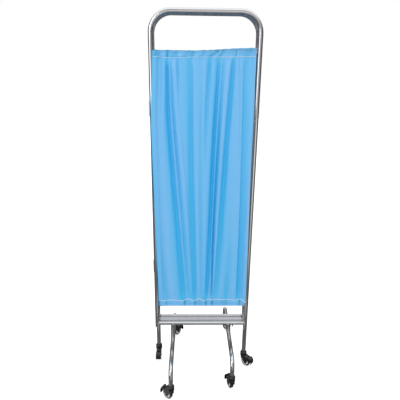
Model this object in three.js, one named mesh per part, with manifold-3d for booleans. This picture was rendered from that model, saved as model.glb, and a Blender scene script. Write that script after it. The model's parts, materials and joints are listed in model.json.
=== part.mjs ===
// A three-fold ward privacy screen on six braked casters, standing folded flat.
// Millimetres, +Z up, X along the panels, Y through the fold. The front panel is at low Y.
// The back panel is the front panel turned half round about the vertical through the middle one.
import * as THREE from 'three';
import { mergeVertices } from 'three/addons/utils/BufferGeometryUtils.js';
import Module from 'manifold-3d';

const wasm = await Module();
wasm.setup();

// Driving dimensions
const screen = { height: 1790, panelWidth: 490, pitch: 30 };
const fit = { gap: 0.3, overrun: 20 };

const tube = {
  radius: 11, wall: 1.2, sides: 14, boreSides: 10,
  bend: 86, bendSteps: 6,
  capWall: 2, capDome: 3.5, capRound: 3, ventRadius: 1.5,
};

const crossbar = { height: 262, tail: 19 };

const foot = { archHeight: 167, halfSpan: 242, offset: 152, bend: 48, bendSteps: 4 };

const rod = { radius: 3.5, sides: 8, insert: 6 };

const hinge = {
  pinRadius: 1.6, knuckleRadius: 3.5, proud: 0.5, sides: 8,
  outerKnuckle: 20, innerKnuckle: 26, heightFromTop: 400, heightFromBar: 330,
  saddleWall: 1.6, saddleAngle: 50, saddleSteps: 2, webWall: 2.4,
  pinHeadRadius: 2.9, pinHeadHeight: 1.4,
};

const curtain = {
  topDrop: 163, bottomRise: 102, topPocket: 31, bottomPocket: 29, rodInPocket: 9,
  wall: 1.1, thickness: 2, sleeveSides: 6, cornerShare: 0.8,
  sideGap: 0.8, folds: 6, foldDepth: 7.5, innerFoldDepth: 4.5, foldSteps: 24, innerFoldSteps: 12,
  slowFoldShare: 0.35, foldLean: 1.3, settle: 260, swing: 65, lapLeft: 11, lapRight: 4, lapForward: 13.8, lapTurn: 40,
};

const wheel = {
  radius: 25, width: 18, shoulder: 3, sides: 20,
  hubRadius: 17, hubRim: 3.5, hubDish: 2.5, hubBoss: 6.5, hubProud: 0.5, hubSides: 12,
};

const yoke = {
  trail: 18, wellGap: 2.5, sideGap: 1.4, cheek: 3, crown: 9,
  headHeight: 22, headRadius: 17.6, headRound: 5, neckRadius: 13, neckHeight: 3, sides: 14,
  noseReach: 9, noseDrop: 6, tailReach: 20, tailRadius: 7, slotReach: 9, axleRadius: 3, axleSides: 8,
  axleBoss: 9, axleHeadRadius: 5.2, axleHeadHeight: 1.2,
};

const stem = {
  radius: 5.5, engage: 18, flange: 1.9, plugLength: 30, plugTip: 4, plugTaper: 1.5, sides: 10,
};

const pedal = {
  pivotOut: 15, pivotUp: 25, bossRadius: 3.4, pinRadius: 1.6, pinSides: 6,
  armReach: 15, shoeReach: 5.3, shoeAngle: -67, sideGap: 0.7,
  treadWidth: 30, treadWall: 2.6, treadTop: 8, treadHeel: 20.2, treadDrop: 29, treadClear: 0.9, treadSteps: 5,
  treadCurveShares: { shoulder: 1, back: 1.39, waist: 0.41 },
};

// Where each caster points at rest, in degrees from +X, seen from above
const heading = {
  front_leg: -38, front_foot_near: 145, front_foot_far: 45,
  back_leg: -90, back_foot_near: 110, back_foot_far: 5,
};

// Sizes that follow from the driving ones
const halfSpan = screen.panelWidth / 2 - tube.radius;
const topLine = screen.height - tube.radius;
const boreRadius = tube.radius - tube.wall;
const hingeSideEnd = crossbar.height - crossbar.tail;
const axleHeight = wheel.radius;
const wellRadius = wheel.radius + yoke.wellGap;
const wellTop = axleHeight + wellRadius;
const crownTop = wellTop + yoke.crown;
const headTop = crownTop + yoke.headHeight;
const legEnd = headTop + fit.gap + stem.flange + fit.gap;
const wellHalfWidth = wheel.width / 2 + yoke.sideGap;
const yokeHalfWidth = wellHalfWidth + yoke.cheek;
const clothTop = screen.height - curtain.topDrop;
const clothBottom = crossbar.height + curtain.bottomRise;
const topRodHeight = clothTop - curtain.rodInPocket;
const bottomRodHeight = clothBottom + curtain.rodInPocket;
const sleeveRadius = (rod.radius + fit.gap) / Math.cos(Math.PI / curtain.sleeveSides);
const pinX = -(halfSpan + tube.radius + hinge.proud);
const pinY = screen.pitch / 2;

// Finishes
const finish = (color, roughness, metalness) => new THREE.MeshStandardMaterial({ color, roughness, metalness });
const steel = finish(0xb9bcc0, 0.22, 1.0);
const cloth = finish(0x69b3e7, 0.85, 0.0);
const blackPlastic = finish(0x17181a, 0.45, 0.0);
const tyreRubber = finish(0x101112, 0.7, 0.0);
const greyPlastic = finish(0xb8b9bb, 0.5, 0.0);

// Solids in and out of the boolean library
function toSolid(geometry) {
  const bare = geometry.index ? geometry.toNonIndexed() : geometry.clone();
  bare.deleteAttribute('normal');
  bare.deleteAttribute('uv');
  const merged = mergeVertices(bare);
  return new wasm.Manifold(new wasm.Mesh({
    numProp: 3,
    vertProperties: new Float32Array(merged.attributes.position.array),
    triVerts: new Uint32Array(merged.index.array),
  }));
}

function toGeometry(solid) {
  const mesh = solid.getMesh();
  const geometry = new THREE.BufferGeometry();
  geometry.setAttribute('position', new THREE.BufferAttribute(new Float32Array(mesh.vertProperties), 3));
  geometry.setIndex(new THREE.BufferAttribute(new Uint32Array(mesh.triVerts), 1));
  geometry.computeVertexNormals();
  return geometry;
}

const joined = (first, ...rest) => rest.reduce((sum, next) => sum.add(next), first);
const cut = (body, ...tools) => tools.reduce((left, tool) => left.subtract(tool), body);

function piece(name, geometry, material) {
  const mesh = new THREE.Mesh(geometry, material);
  mesh.name = name;
  return mesh;
}

// A path given ring by ring, so that straight runs need no rings of their own
class RingPath extends THREE.Curve {
  constructor(rings) {
    super();
    this.rings = rings;
  }

  ringAt(u) {
    return this.rings[Math.round(u * (this.rings.length - 1))];
  }

  getPointAt(u, target = new THREE.Vector3()) {
    return target.copy(this.ringAt(u).point);
  }

  getTangentAt(u, target = new THREE.Vector3()) {
    return target.copy(this.ringAt(u).tangent);
  }
}

// Straight runs between the corners, joined by round bends
function bentPath(corners, bend, bendSteps) {
  const direction = (from, to) => to.clone().sub(from).normalize();
  const rings = [{ point: corners[0], tangent: direction(corners[0], corners[1]) }];
  for (let i = 1; i < corners.length - 1; i += 1) {
    const into = direction(corners[i - 1], corners[i]);
    const out = direction(corners[i], corners[i + 1]);
    const turn = into.angleTo(out);
    const start = corners[i].clone().addScaledVector(into, -bend * Math.tan(turn / 2));
    const inward = out.clone().addScaledVector(into, -out.dot(into)).normalize();
    for (let step = 0; step <= bendSteps; step += 1) {
      const angle = turn * step / bendSteps;
      rings.push({
        point: start.clone()
          .addScaledVector(into, bend * Math.sin(angle))
          .addScaledVector(inward, bend * (1 - Math.cos(angle))),
        tangent: into.clone().multiplyScalar(Math.cos(angle)).addScaledVector(inward, Math.sin(angle)),
      });
    }
  }
  const last = corners[corners.length - 1];
  rings.push({ point: last, tangent: direction(corners[corners.length - 2], last) });
  return new RingPath(rings);
}

function roundShape(radius) {
  const shape = new THREE.Shape();
  shape.absarc(0, 0, radius, 0, 2 * Math.PI, false);
  return shape;
}

function roundBar(path, radius, sides) {
  return toSolid(new THREE.ExtrudeGeometry(roundShape(radius), {
    steps: path.rings.length - 1, extrudePath: path, curveSegments: sides / 2, bevelEnabled: false,
  }));
}

// A straight round bar between two points
function bar(from, to, radius, sides) {
  return roundBar(bentPath([new THREE.Vector3(...from), new THREE.Vector3(...to)], 0, 1), radius, sides);
}

// A solid of revolution about Z, its profile given as [radius, height] pairs on or off the axis
function turned(profile, sides) {
  return toSolid(new THREE.LatheGeometry(profile.map(([r, z]) => new THREE.Vector2(r, z)), sides)
    .rotateX(Math.PI / 2));
}

// A side profile in X and Z, given a width in Y and centred on it
function sidePlate(shape, width, curveSegments) {
  return toSolid(new THREE.ExtrudeGeometry(shape, { depth: width, steps: 1, curveSegments, bevelEnabled: false })
    .rotateX(Math.PI / 2).translate(0, width / 2, 0));
}

function outline(points) {
  return new THREE.Shape(points.map(([x, z]) => new THREE.Vector2(x, z)));
}

// Panel frame: one length of tube bent into an upside-down U, its short ends closed by a vented dome
function uprightEnds(hasLeg) {
  return hasLeg ? [legEnd, hingeSideEnd] : [hingeSideEnd, hingeSideEnd];
}

function frameCorners(rightEnd, leftEnd) {
  return [
    new THREE.Vector3(halfSpan, 0, rightEnd),
    new THREE.Vector3(halfSpan, 0, topLine),
    new THREE.Vector3(-halfSpan, 0, topLine),
    new THREE.Vector3(-halfSpan, 0, leftEnd),
  ];
}

function endDome(side) {
  const dome = turned([
    [0, -tube.capDome], [tube.radius - tube.capRound, -tube.capDome],
    [tube.radius - tube.wall / 2, -tube.capDome + tube.capRound], [tube.radius - tube.wall / 2, tube.capWall], [0, tube.capWall],
  ], tube.sides);
  return dome.translate([side * halfSpan, 0, hingeSideEnd]);
}

function frameSolid(hasLeg) {
  const [rightEnd, leftEnd] = uprightEnds(hasLeg);
  const rightBoreEnd = hasLeg ? rightEnd - fit.overrun : rightEnd + tube.capWall;
  const outer = roundBar(bentPath(frameCorners(rightEnd, leftEnd), tube.bend, tube.bendSteps), tube.radius, tube.sides);
  const bore = roundBar(
    bentPath(frameCorners(rightBoreEnd, leftEnd + tube.capWall), tube.bend, tube.bendSteps), boreRadius, tube.boreSides);
  const domes = hasLeg ? [endDome(-1)] : [endDome(-1), endDome(1)];
  const vents = (hasLeg ? [-1] : [-1, 1]).map((side) => bar(
    [side * halfSpan, 0, hingeSideEnd - fit.overrun], [side * halfSpan, 0, hingeSideEnd + fit.overrun],
    tube.ventRadius, rod.sides));
  const rodHoles = [topRodHeight, bottomRodHeight].map((height) => bar(
    [-halfSpan, 0, height], [halfSpan, 0, height], rod.radius + fit.gap, rod.sides));
  return cut(joined(outer, ...domes), bore, ...vents, ...rodHoles);
}

// Crossbar: a tube coped at both ends to sit against the uprights
function crossbarSolid() {
  const level = crossbar.height;
  const outer = bar([-halfSpan, 0, level], [halfSpan, 0, level], tube.radius, tube.sides);
  const bore = bar(
    [-halfSpan - fit.overrun, 0, level], [halfSpan + fit.overrun, 0, level], boreRadius, tube.boreSides);
  const copes = [-1, 1].map((side) => bar(
    [side * halfSpan, 0, level - 2 * fit.overrun], [side * halfSpan, 0, level + 2 * fit.overrun],
    tube.radius + fit.gap, tube.sides));
  return cut(outer, bore, ...copes);
}

// Foot: a low arch across the panel with a short post up to the crossbar, whose underside copes it
function footCorners(endHeight) {
  return [
    new THREE.Vector3(-foot.offset, -foot.halfSpan, endHeight),
    new THREE.Vector3(-foot.offset, -foot.halfSpan, foot.archHeight),
    new THREE.Vector3(-foot.offset, foot.halfSpan, foot.archHeight),
    new THREE.Vector3(-foot.offset, foot.halfSpan, endHeight),
  ];
}

function footSolid() {
  const arch = roundBar(bentPath(footCorners(legEnd), foot.bend, foot.bendSteps), tube.radius, tube.sides);
  const archBore = roundBar(
    bentPath(footCorners(legEnd - fit.overrun), foot.bend, foot.bendSteps), boreRadius, tube.boreSides);
  const base = [-foot.offset, 0, foot.archHeight];
  const head = [-foot.offset, 0, crossbar.height];
  const post = bar(base, head, tube.radius, tube.sides);
  const postBore = bar(base, head, boreRadius, tube.boreSides);
  const seat = bar(
    [-foot.offset - fit.overrun, 0, crossbar.height], [-foot.offset + fit.overrun, 0, crossbar.height],
    tube.radius + fit.gap, tube.sides);
  return cut(joined(arch, post), archBore, postBore, seat);
}

// Curtain rods: plain round bars whose ends stand in drilled holes in the uprights
function rodSolid(height) {
  const reach = halfSpan - boreRadius + rod.insert;
  return bar([-reach, 0, height], [reach, 0, height], rod.radius, rod.sides);
}

// Hinges: a pin in three knuckles, each leaf a web on a saddle that hugs its upright
function knuckle(bottom, length) {
  const bore = hinge.pinRadius + fit.gap;
  return turned([
    [bore, bottom], [hinge.knuckleRadius, bottom],
    [hinge.knuckleRadius, bottom + length], [bore, bottom + length], [bore, bottom],
  ], hinge.sides);
}

// The saddle and web that carry knuckles from an upright standing at (away.x, away.y) from the pin
function leafPlate(away, bottom, length) {
  const facing = Math.atan2(-away.y, -away.x);
  const half = THREE.MathUtils.degToRad(hinge.saddleAngle / 2);
  const inner = tube.radius + fit.gap;
  const outer = inner + hinge.saddleWall;
  const saddle = new THREE.Shape();
  saddle.absarc(away.x, away.y, outer, facing - half, facing + half, false);
  saddle.absarc(away.x, away.y, inner, facing + half, facing - half, true);
  const toUpright = new THREE.Vector2(away.x, away.y).normalize();
  const across = new THREE.Vector2(-toUpright.y, toUpright.x).multiplyScalar(hinge.webWall / 2);
  const near = toUpright.clone().multiplyScalar((hinge.pinRadius + fit.gap + hinge.knuckleRadius) / 2);
  const far = toUpright.clone().multiplyScalar(away.length() - inner - hinge.saddleWall / 2);
  const web = new THREE.Shape([
    near.clone().sub(across), far.clone().sub(across), far.clone().add(across), near.clone().add(across),
  ]);
  const rise = (shape) => toSolid(new THREE.ExtrudeGeometry(shape, {
    depth: length, steps: 1, curveSegments: hinge.saddleSteps, bevelEnabled: false,
  }).translate(0, 0, bottom));
  return { saddle: rise(saddle), web: rise(web) };
}

// Heights of the knuckles, from the hinge's foot up
const hingeBottoms = [topLine - hinge.heightFromTop, crossbar.height + hinge.heightFromBar]
  .map((middle) => middle - hinge.outerKnuckle - fit.gap - hinge.innerKnuckle / 2);
const hingeLength = 2 * (hinge.outerKnuckle + fit.gap) + hinge.innerKnuckle;

function outerLeaf(bottom) {
  const away = new THREE.Vector2(-halfSpan - pinX, -pinY);
  const upper = bottom + hingeLength - hinge.outerKnuckle;
  const lowWeb = leafPlate(away, bottom, hinge.outerKnuckle).web;
  const highWeb = leafPlate(away, upper, hinge.outerKnuckle).web;
  const { saddle } = leafPlate(away, bottom, hingeLength);
  return joined(saddle, lowWeb, highWeb, knuckle(bottom, hinge.outerKnuckle), knuckle(upper, hinge.outerKnuckle));
}

function innerLeaf(bottom) {
  const away = new THREE.Vector2(-halfSpan - pinX, pinY);
  const lower = bottom + hinge.outerKnuckle + fit.gap;
  const { saddle, web } = leafPlate(away, lower, hinge.innerKnuckle);
  return joined(saddle, web, knuckle(lower, hinge.innerKnuckle));
}

function hingePin(bottom) {
  const top = bottom + hingeLength + fit.gap;
  return turned([
    [0, bottom], [hinge.pinRadius, bottom], [hinge.pinRadius, top],
    [hinge.pinHeadRadius, top], [hinge.pinHeadRadius, top + hinge.pinHeadHeight], [0, top + hinge.pinHeadHeight],
  ], hinge.sides);
}

// Curtain: a thin folded sheet that splits into a sleeve round the rod at its top and its bottom
const smooth = (t) => {
  const s = THREE.MathUtils.clamp(t, 0, 1);
  return s * s * (3 - 2 * s);
};

// Half widths of the sheet's cross-section from the top edge down: [half thickness, height]
function sheetProfile() {
  const half = curtain.thickness / 2;
  const sleeve = sleeveRadius + curtain.wall;
  const corner = sleeve * curtain.cornerShare;
  const topStitch = clothTop - curtain.topPocket;
  const bottomStitch = clothBottom + curtain.bottomPocket;
  const drop = topStitch - bottomStitch;
  const hangShares = [0.06, 0.2, 0.5, 0.8, 0.94];
  return [
    [corner, topRodHeight + corner], [sleeve, topRodHeight], [half, topStitch],
    ...hangShares.map((share) => [half, topStitch - share * drop]),
    [half, bottomStitch], [sleeve, bottomRodHeight], [corner, bottomRodHeight - corner],
  ];
}

function sleeveRing(height) {
  return Array.from({ length: curtain.sleeveSides }, (_, i) => {
    const angle = 2 * Math.PI * (i + 0.5) / curtain.sleeveSides;
    return [sleeveRadius * Math.cos(angle), height + sleeveRadius * Math.sin(angle)];
  });
}

// Where a point of the sheet lies: share runs 0 to 1 along the rod, hang is 0 at the stitches and 1 well below
function sheetPlace(share, height, form) {
  const topStitch = clothTop - curtain.topPocket;
  const bottomStitch = clothBottom + curtain.bottomPocket;
  const fromStitch = Math.min(topStitch - height, height - bottomStitch);
  const hang = smooth(fromStitch / curtain.settle);
  const swing = smooth(fromStitch / curtain.swing);
  const reach = halfSpan - tube.radius - curtain.sideGap;
  const left = -reach - form.lapLeft * hang;
  const right = reach + form.lapRight * hang;
  const x = THREE.MathUtils.lerp(left, right, share);
  const lean = curtain.foldLean * (topStitch - height) / (topStitch - bottomStitch);
  const wave = Math.sin(2 * Math.PI * curtain.folds * share + lean)
    + curtain.slowFoldShare * Math.sin(2 * Math.PI * share + 2 * lean);
  const fromEdge = Math.min(x - left, right - x);
  const lap = form.laps ? 1 - smooth((fromEdge - curtain.lapTurn / 2) / curtain.lapTurn) : 0;
  const y = -lap * swing * curtain.lapForward + (1 - lap) * swing * form.foldDepth * wave;
  return [x, y];
}

// The sheet's end: a pocket round each sleeve, and a ladder of faces between the two rows of stitches
function endFaces([outer, ...sleeves]) {
  const rows = (outer.length - 2) / 2;
  const left = (row) => row + 1;
  const right = (row) => 2 * rows + 1 - row;
  const pocket = (rim, k) => {
    const start = outer.length + k * curtain.sleeveSides;
    const order = [...rim, ...sleeves[k].map((_, i) => start + i)];
    const flat = (points) => points.map(([across, z]) => new THREE.Vector2(across, z));
    return THREE.ShapeUtils.triangulateShape(flat(rim.map((i) => outer[i])), [flat(sleeves[k])])
      .map((face) => face.map((i) => order[i]));
  };
  const last = rows - 1;
  const faces = [
    ...pocket([0, left(0), left(1), left(2), right(2), right(1), right(0)], 0),
    ...pocket([left(last - 2), left(last - 1), left(last), rows + 1, right(last), right(last - 1), right(last - 2)], 1),
  ];
  for (let row = 2; row < last - 2; row += 1) {
    faces.push([left(row), left(row + 1), right(row + 1)], [left(row), right(row + 1), right(row)]);
  }
  return faces;
}

function curtainGeometry(form) {
  const profile = sheetProfile();
  const sleeve = sleeveRadius + curtain.wall;
  const outer = [
    [0, topRodHeight + sleeve], ...profile.map(([half, z]) => [-half, z]),
    [0, bottomRodHeight - sleeve], ...profile.map(([half, z]) => [half, z]).reverse(),
  ];
  const loops = [outer, sleeveRing(topRodHeight), sleeveRing(bottomRodHeight)];
  const positions = [];
  const starts = loops.map(() => []);
  for (let step = 0; step <= form.foldSteps; step += 1) {
    const share = step / form.foldSteps;
    loops.forEach((loop, k) => {
      starts[k].push(positions.length / 3);
      loop.forEach(([across, z]) => {
        const [x, y] = sheetPlace(share, z, form);
        positions.push(x, y + across, z);
      });
    });
  }
  const faces = [];
  loops.forEach((loop, k) => {
    const outward = k === 0;
    for (let step = 0; step < form.foldSteps; step += 1) {
      for (let i = 0; i < loop.length; i += 1) {
        const next = (i + 1) % loop.length;
        const [a, b] = [starts[k][step] + i, starts[k][step] + next];
        const [c, d] = [starts[k][step + 1] + next, starts[k][step + 1] + i];
        // The sheet's two sides run opposite ways round the loop, so one is split on the other diagonal
        const climbs = outward && i > profile.length;
        const pair = climbs ? [a, b, d, b, c, d] : [a, b, c, a, c, d];
        faces.push(...(outward ? pair : pair.reverse()));
      }
    }
  });
  const pointsAt = (step) => loops.map((loop, k) => loop.map((_, i) => starts[k][step] + i)).flat();
  const [firstEnd, lastEnd] = [pointsAt(0), pointsAt(form.foldSteps)];
  endFaces(loops).forEach(([a, b, c]) => {
    faces.push(firstEnd[a], firstEnd[c], firstEnd[b], lastEnd[a], lastEnd[b], lastEnd[c]);
  });
  const geometry = new THREE.BufferGeometry();
  geometry.setAttribute('position', new THREE.Float32BufferAttribute(positions, 3));
  geometry.setIndex(faces);
  geometry.computeVertexNormals();
  return geometry;
}

const lappedForm = {
  laps: true, lapLeft: curtain.lapLeft, lapRight: curtain.lapRight,
  foldDepth: curtain.foldDepth, foldSteps: curtain.foldSteps,
};
const innerForm = {
  laps: false, lapLeft: 0, lapRight: 0, foldDepth: curtain.innerFoldDepth, foldSteps: curtain.innerFoldSteps,
};

// Caster parts, about the stem's axis with the floor at zero and the wheel trailing towards +X
function tyreSolid() {
  const round = 1 / Math.cos(Math.PI / wheel.sides);
  const half = wheel.width / 2;
  const inner = wheel.hubRadius + fit.gap;
  const flank = wheel.radius - wheel.shoulder;
  return turned([
    [inner, -half], [flank * round, -half], [wheel.radius * round, -half + wheel.shoulder],
    [wheel.radius * round, half - wheel.shoulder], [flank * round, half], [inner, half], [inner, -half],
  ], wheel.sides);
}

function hubSolid() {
  const bore = yoke.axleRadius + fit.gap;
  const half = wheel.width / 2;
  const rim = wheel.hubRadius - wheel.hubRim;
  const boss = half + wheel.hubProud;
  const dish = half - wheel.hubDish;
  return turned([
    [bore, -boss], [wheel.hubBoss, -boss], [rim - wheel.hubDish, -dish], [rim, -half], [wheel.hubRadius, -half],
    [wheel.hubRadius, half], [rim, half], [rim - wheel.hubDish, dish], [wheel.hubBoss, boss], [bore, boss], [bore, -boss],
  ], wheel.hubSides);
}

// Turns a wheel part from standing on Z to lying across the fork, a flat of its rim to the floor
function onAxle(solid, sides) {
  return solid.rotate([0, 0, 180 / sides]).rotate([90, 0, 0]).translate([yoke.trail, 0, axleHeight]);
}

function yokeSide() {
  const { trail, tailReach, tailRadius, axleBoss, headRadius, noseReach, noseDrop } = yoke;
  const tail = trail + tailReach;
  const pivotHeight = axleHeight + pedal.pivotUp;
  const shape = new THREE.Shape();
  shape.moveTo(-noseReach, crownTop);
  shape.lineTo(headRadius, crownTop);
  shape.lineTo(tail - tailRadius / 2, pivotHeight + tailRadius);
  shape.lineTo(tail, pivotHeight + tailRadius / 2);
  shape.lineTo(tail, pivotHeight - tailRadius);
  shape.absarc(trail, axleHeight, axleBoss, 0, -Math.PI, true);
  shape.lineTo(-noseReach, crownTop - noseDrop);
  return shape;
}

function yokeSolid() {
  const body = sidePlate(yokeSide(), 2 * yokeHalfWidth, yoke.axleSides);
  const head = turned([
    [0, crownTop - yoke.noseDrop], [yoke.headRadius, crownTop - yoke.noseDrop],
    [yoke.headRadius, headTop - yoke.neckHeight - yoke.headRound],
    [yoke.headRadius - yoke.headRound / 3, headTop - yoke.neckHeight - yoke.headRound / 3],
    [yoke.neckRadius + fit.gap, headTop - yoke.neckHeight],
    [yoke.neckRadius, headTop], [0, headTop],
  ], yoke.sides);
  const well = sidePlate(
    roundShape(wellRadius), 2 * wellHalfWidth, yoke.sides / 2).translate([yoke.trail, 0, axleHeight]);
  const below = sidePlate(outline([
    [-wellRadius, -axleHeight], [wellRadius, -axleHeight], [wellRadius, 0], [-wellRadius, 0],
  ]), 2 * wellHalfWidth, 1).translate([yoke.trail, 0, axleHeight]);
  const slotTop = pedal.pivotUp + pedal.bossRadius + pedal.treadTop;
  const slot = sidePlate(outline([
    [yoke.slotReach, 0], [wellRadius + fit.overrun, 0], [wellRadius + fit.overrun, slotTop], [yoke.slotReach, slotTop],
  ]), 2 * wellHalfWidth, 1).translate([yoke.trail, 0, axleHeight]);
  const stemBore = bar([0, 0, headTop - stem.engage - fit.gap], [0, 0, headTop + fit.overrun],
    stem.radius + 2 * fit.gap, stem.sides);
  const pivot = [yoke.trail + pedal.pivotOut, axleHeight + pedal.pivotUp];
  const pivotHole = bar([pivot[0], -yokeHalfWidth - fit.overrun, pivot[1]], [pivot[0], yokeHalfWidth + fit.overrun, pivot[1]],
    pedal.pinRadius + fit.gap, pedal.pinSides);
  const axle = bar([yoke.trail, -yokeHalfWidth, axleHeight], [yoke.trail, yokeHalfWidth, axleHeight],
    yoke.axleRadius, yoke.axleSides);
  const headReach = yokeHalfWidth + yoke.axleHeadHeight;
  const axleHeads = [-1, 1].map((side) => bar(
    [yoke.trail, side * (yokeHalfWidth - yoke.cheek / 2), axleHeight], [yoke.trail, side * headReach, axleHeight],
    yoke.axleHeadRadius, yoke.axleSides));
  return joined(cut(joined(body, head), well, below, slot, stemBore, pivotHole), axle, ...axleHeads);
}

function stemSolid() {
  const plug = boreRadius * Math.cos(Math.PI / tube.boreSides) - fit.gap;
  const flangeBottom = headTop + fit.gap;
  const flangeTop = flangeBottom + stem.flange;
  const plugTop = flangeTop + stem.plugLength;
  return turned([
    [0, headTop - stem.engage], [stem.radius, headTop - stem.engage], [stem.radius, flangeBottom],
    [tube.radius, flangeBottom], [tube.radius, flangeTop], [plug, flangeTop],
    [plug, plugTop - stem.plugTip], [plug - stem.plugTaper, plugTop], [0, plugTop],
  ], stem.sides);
}

// Brake pedal: a boss on snap-in pins, a shoe over the tyre and a curved tread behind the wheel
function treadShape() {
  const { treadHeel, treadDrop, treadTop, treadWall, treadCurveShares } = pedal;
  const start = yoke.tailReach - pedal.pivotOut + pedal.treadClear;
  const shoulder = treadHeel * treadCurveShares.shoulder;
  const back = treadHeel * treadCurveShares.back;
  const waist = -treadDrop * treadCurveShares.waist;
  const shape = new THREE.Shape();
  shape.moveTo(start, treadTop);
  shape.bezierCurveTo(shoulder, treadTop, back, waist, treadHeel, -treadDrop);
  shape.lineTo(treadHeel - treadWall, -treadDrop);
  shape.bezierCurveTo(
    back - treadWall, waist, shoulder - treadWall, treadTop - treadWall, start, treadTop - treadWall);
  return shape;
}

function pedalArmShape() {
  const { bossRadius, armReach, shoeReach } = pedal;
  const shoeAngle = THREE.MathUtils.degToRad(pedal.shoeAngle);
  const shape = new THREE.Shape();
  shape.moveTo(armReach, -bossRadius);
  shape.lineTo(armReach, bossRadius);
  shape.absarc(0, 0, bossRadius, Math.PI / 2, Math.PI * 4 / 3, false);
  shape.lineTo(shoeReach * Math.cos(shoeAngle), shoeReach * Math.sin(shoeAngle));
  return shape;
}

function pedalSolid() {
  const armHalfWidth = wellHalfWidth - pedal.sideGap;
  const pins = bar([0, -yokeHalfWidth, 0], [0, yokeHalfWidth, 0], pedal.pinRadius, pedal.pinSides);
  return joined(
    sidePlate(pedalArmShape(), 2 * armHalfWidth, pedal.treadSteps),
    sidePlate(treadShape(), pedal.treadWidth, pedal.treadSteps),
    pins,
  ).translate([yoke.trail + pedal.pivotOut, 0, axleHeight + pedal.pivotUp]);
}

// The solids that every copy shares
const shared = {
  leggedFrame: toGeometry(frameSolid(true)),
  middleFrame: toGeometry(frameSolid(false)),
  crossbar: toGeometry(crossbarSolid()),
  foot: toGeometry(footSolid()),
  topRod: toGeometry(rodSolid(topRodHeight)),
  bottomRod: toGeometry(rodSolid(bottomRodHeight)),
  stem: toGeometry(stemSolid()),
  yoke: toGeometry(yokeSolid()),
  hub: toGeometry(onAxle(hubSolid(), wheel.hubSides)),
  tyre: toGeometry(onAxle(tyreSolid(), wheel.sides)),
  pedal: toGeometry(pedalSolid()),
};

function caster(name, x, y, degrees) {
  const group = new THREE.Group();
  group.add(
    piece(`${name}_caster_stem`, shared.stem, blackPlastic),
    piece(`${name}_caster_yoke`, shared.yoke, blackPlastic),
    piece(`${name}_caster_hub`, shared.hub, greyPlastic),
    piece(`${name}_caster_tyre`, shared.tyre, tyreRubber),
    piece(`${name}_brake_pedal`, shared.pedal, blackPlastic),
  );
  group.position.set(x, y, 0);
  group.rotation.z = THREE.MathUtils.degToRad(degrees);
  return group;
}

function hangings(name, form) {
  return [
    piece(`${name}_crossbar`, shared.crossbar, steel),
    piece(`${name}_top_rod`, shared.topRod, steel),
    piece(`${name}_bottom_rod`, shared.bottomRod, steel),
    piece(`${name}_curtain`, curtainGeometry(form), cloth),
  ];
}

// A hinge joins this panel to the middle one, which stands one pitch behind it
function hinges(name) {
  return ['upper', 'lower'].map((level, i) => {
    const group = new THREE.Group();
    const label = `${name}_${level}_hinge`;
    group.add(
      piece(`${label}_outer_leaf`, toGeometry(outerLeaf(hingeBottoms[i])), steel),
      piece(`${label}_inner_leaf`, toGeometry(innerLeaf(hingeBottoms[i])), steel),
      piece(`${label}_pin`, toGeometry(hingePin(hingeBottoms[i])), steel),
    );
    group.position.set(pinX, pinY, 0);
    return group;
  });
}

function outerPanel(name, nearEnd, farEnd, turn) {
  const group = new THREE.Group();
  group.add(
    piece(`${name}_frame`, shared.leggedFrame, steel),
    piece(`${name}_foot`, shared.foot, steel),
    ...hangings(name, lappedForm),
    ...hinges(name),
    caster(`${name}_leg`, halfSpan, 0, heading[`${name}_leg`] - turn),
    caster(`${name}_foot_${nearEnd}`, -foot.offset, -foot.halfSpan, heading[`${name}_foot_${nearEnd}`] - turn),
    caster(`${name}_foot_${farEnd}`, -foot.offset, foot.halfSpan, heading[`${name}_foot_${farEnd}`] - turn),
  );
  group.rotation.z = THREE.MathUtils.degToRad(turn);
  return group;
}

function middlePanel() {
  const group = new THREE.Group();
  group.add(piece('middle_frame', shared.middleFrame, steel), ...hangings('middle', innerForm));
  return group;
}

// The whole screen, with its origin on the floor under the middle of its box
const model = new THREE.Group();
const front = outerPanel('front', 'near', 'far', 0);
const back = outerPanel('back', 'far', 'near', 180);
front.position.y = -screen.pitch;
back.position.y = screen.pitch;
model.add(front, middlePanel(), back);
model.updateMatrixWorld(true);
const middle = new THREE.Box3().setFromObject(model, true).getCenter(new THREE.Vector3());
model.position.set(-middle.x, -middle.y, 0);
model.updateMatrixWorld(true);

export default model;
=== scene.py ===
"""A folding ward privacy screen: polished tube panels, gathered curtains and braked castors.

Every length is in metres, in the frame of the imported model: +Z up, X along the panels,
the front panel at low Y.
"""

import json
import math

import bmesh
import bpy
import numpy as np
from bpy.props import FloatProperty, FloatVectorProperty, IntProperty, PointerProperty
from bpy.types import Operator, Panel, PropertyGroup
from mathutils import Matrix, Vector, noise

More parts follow.
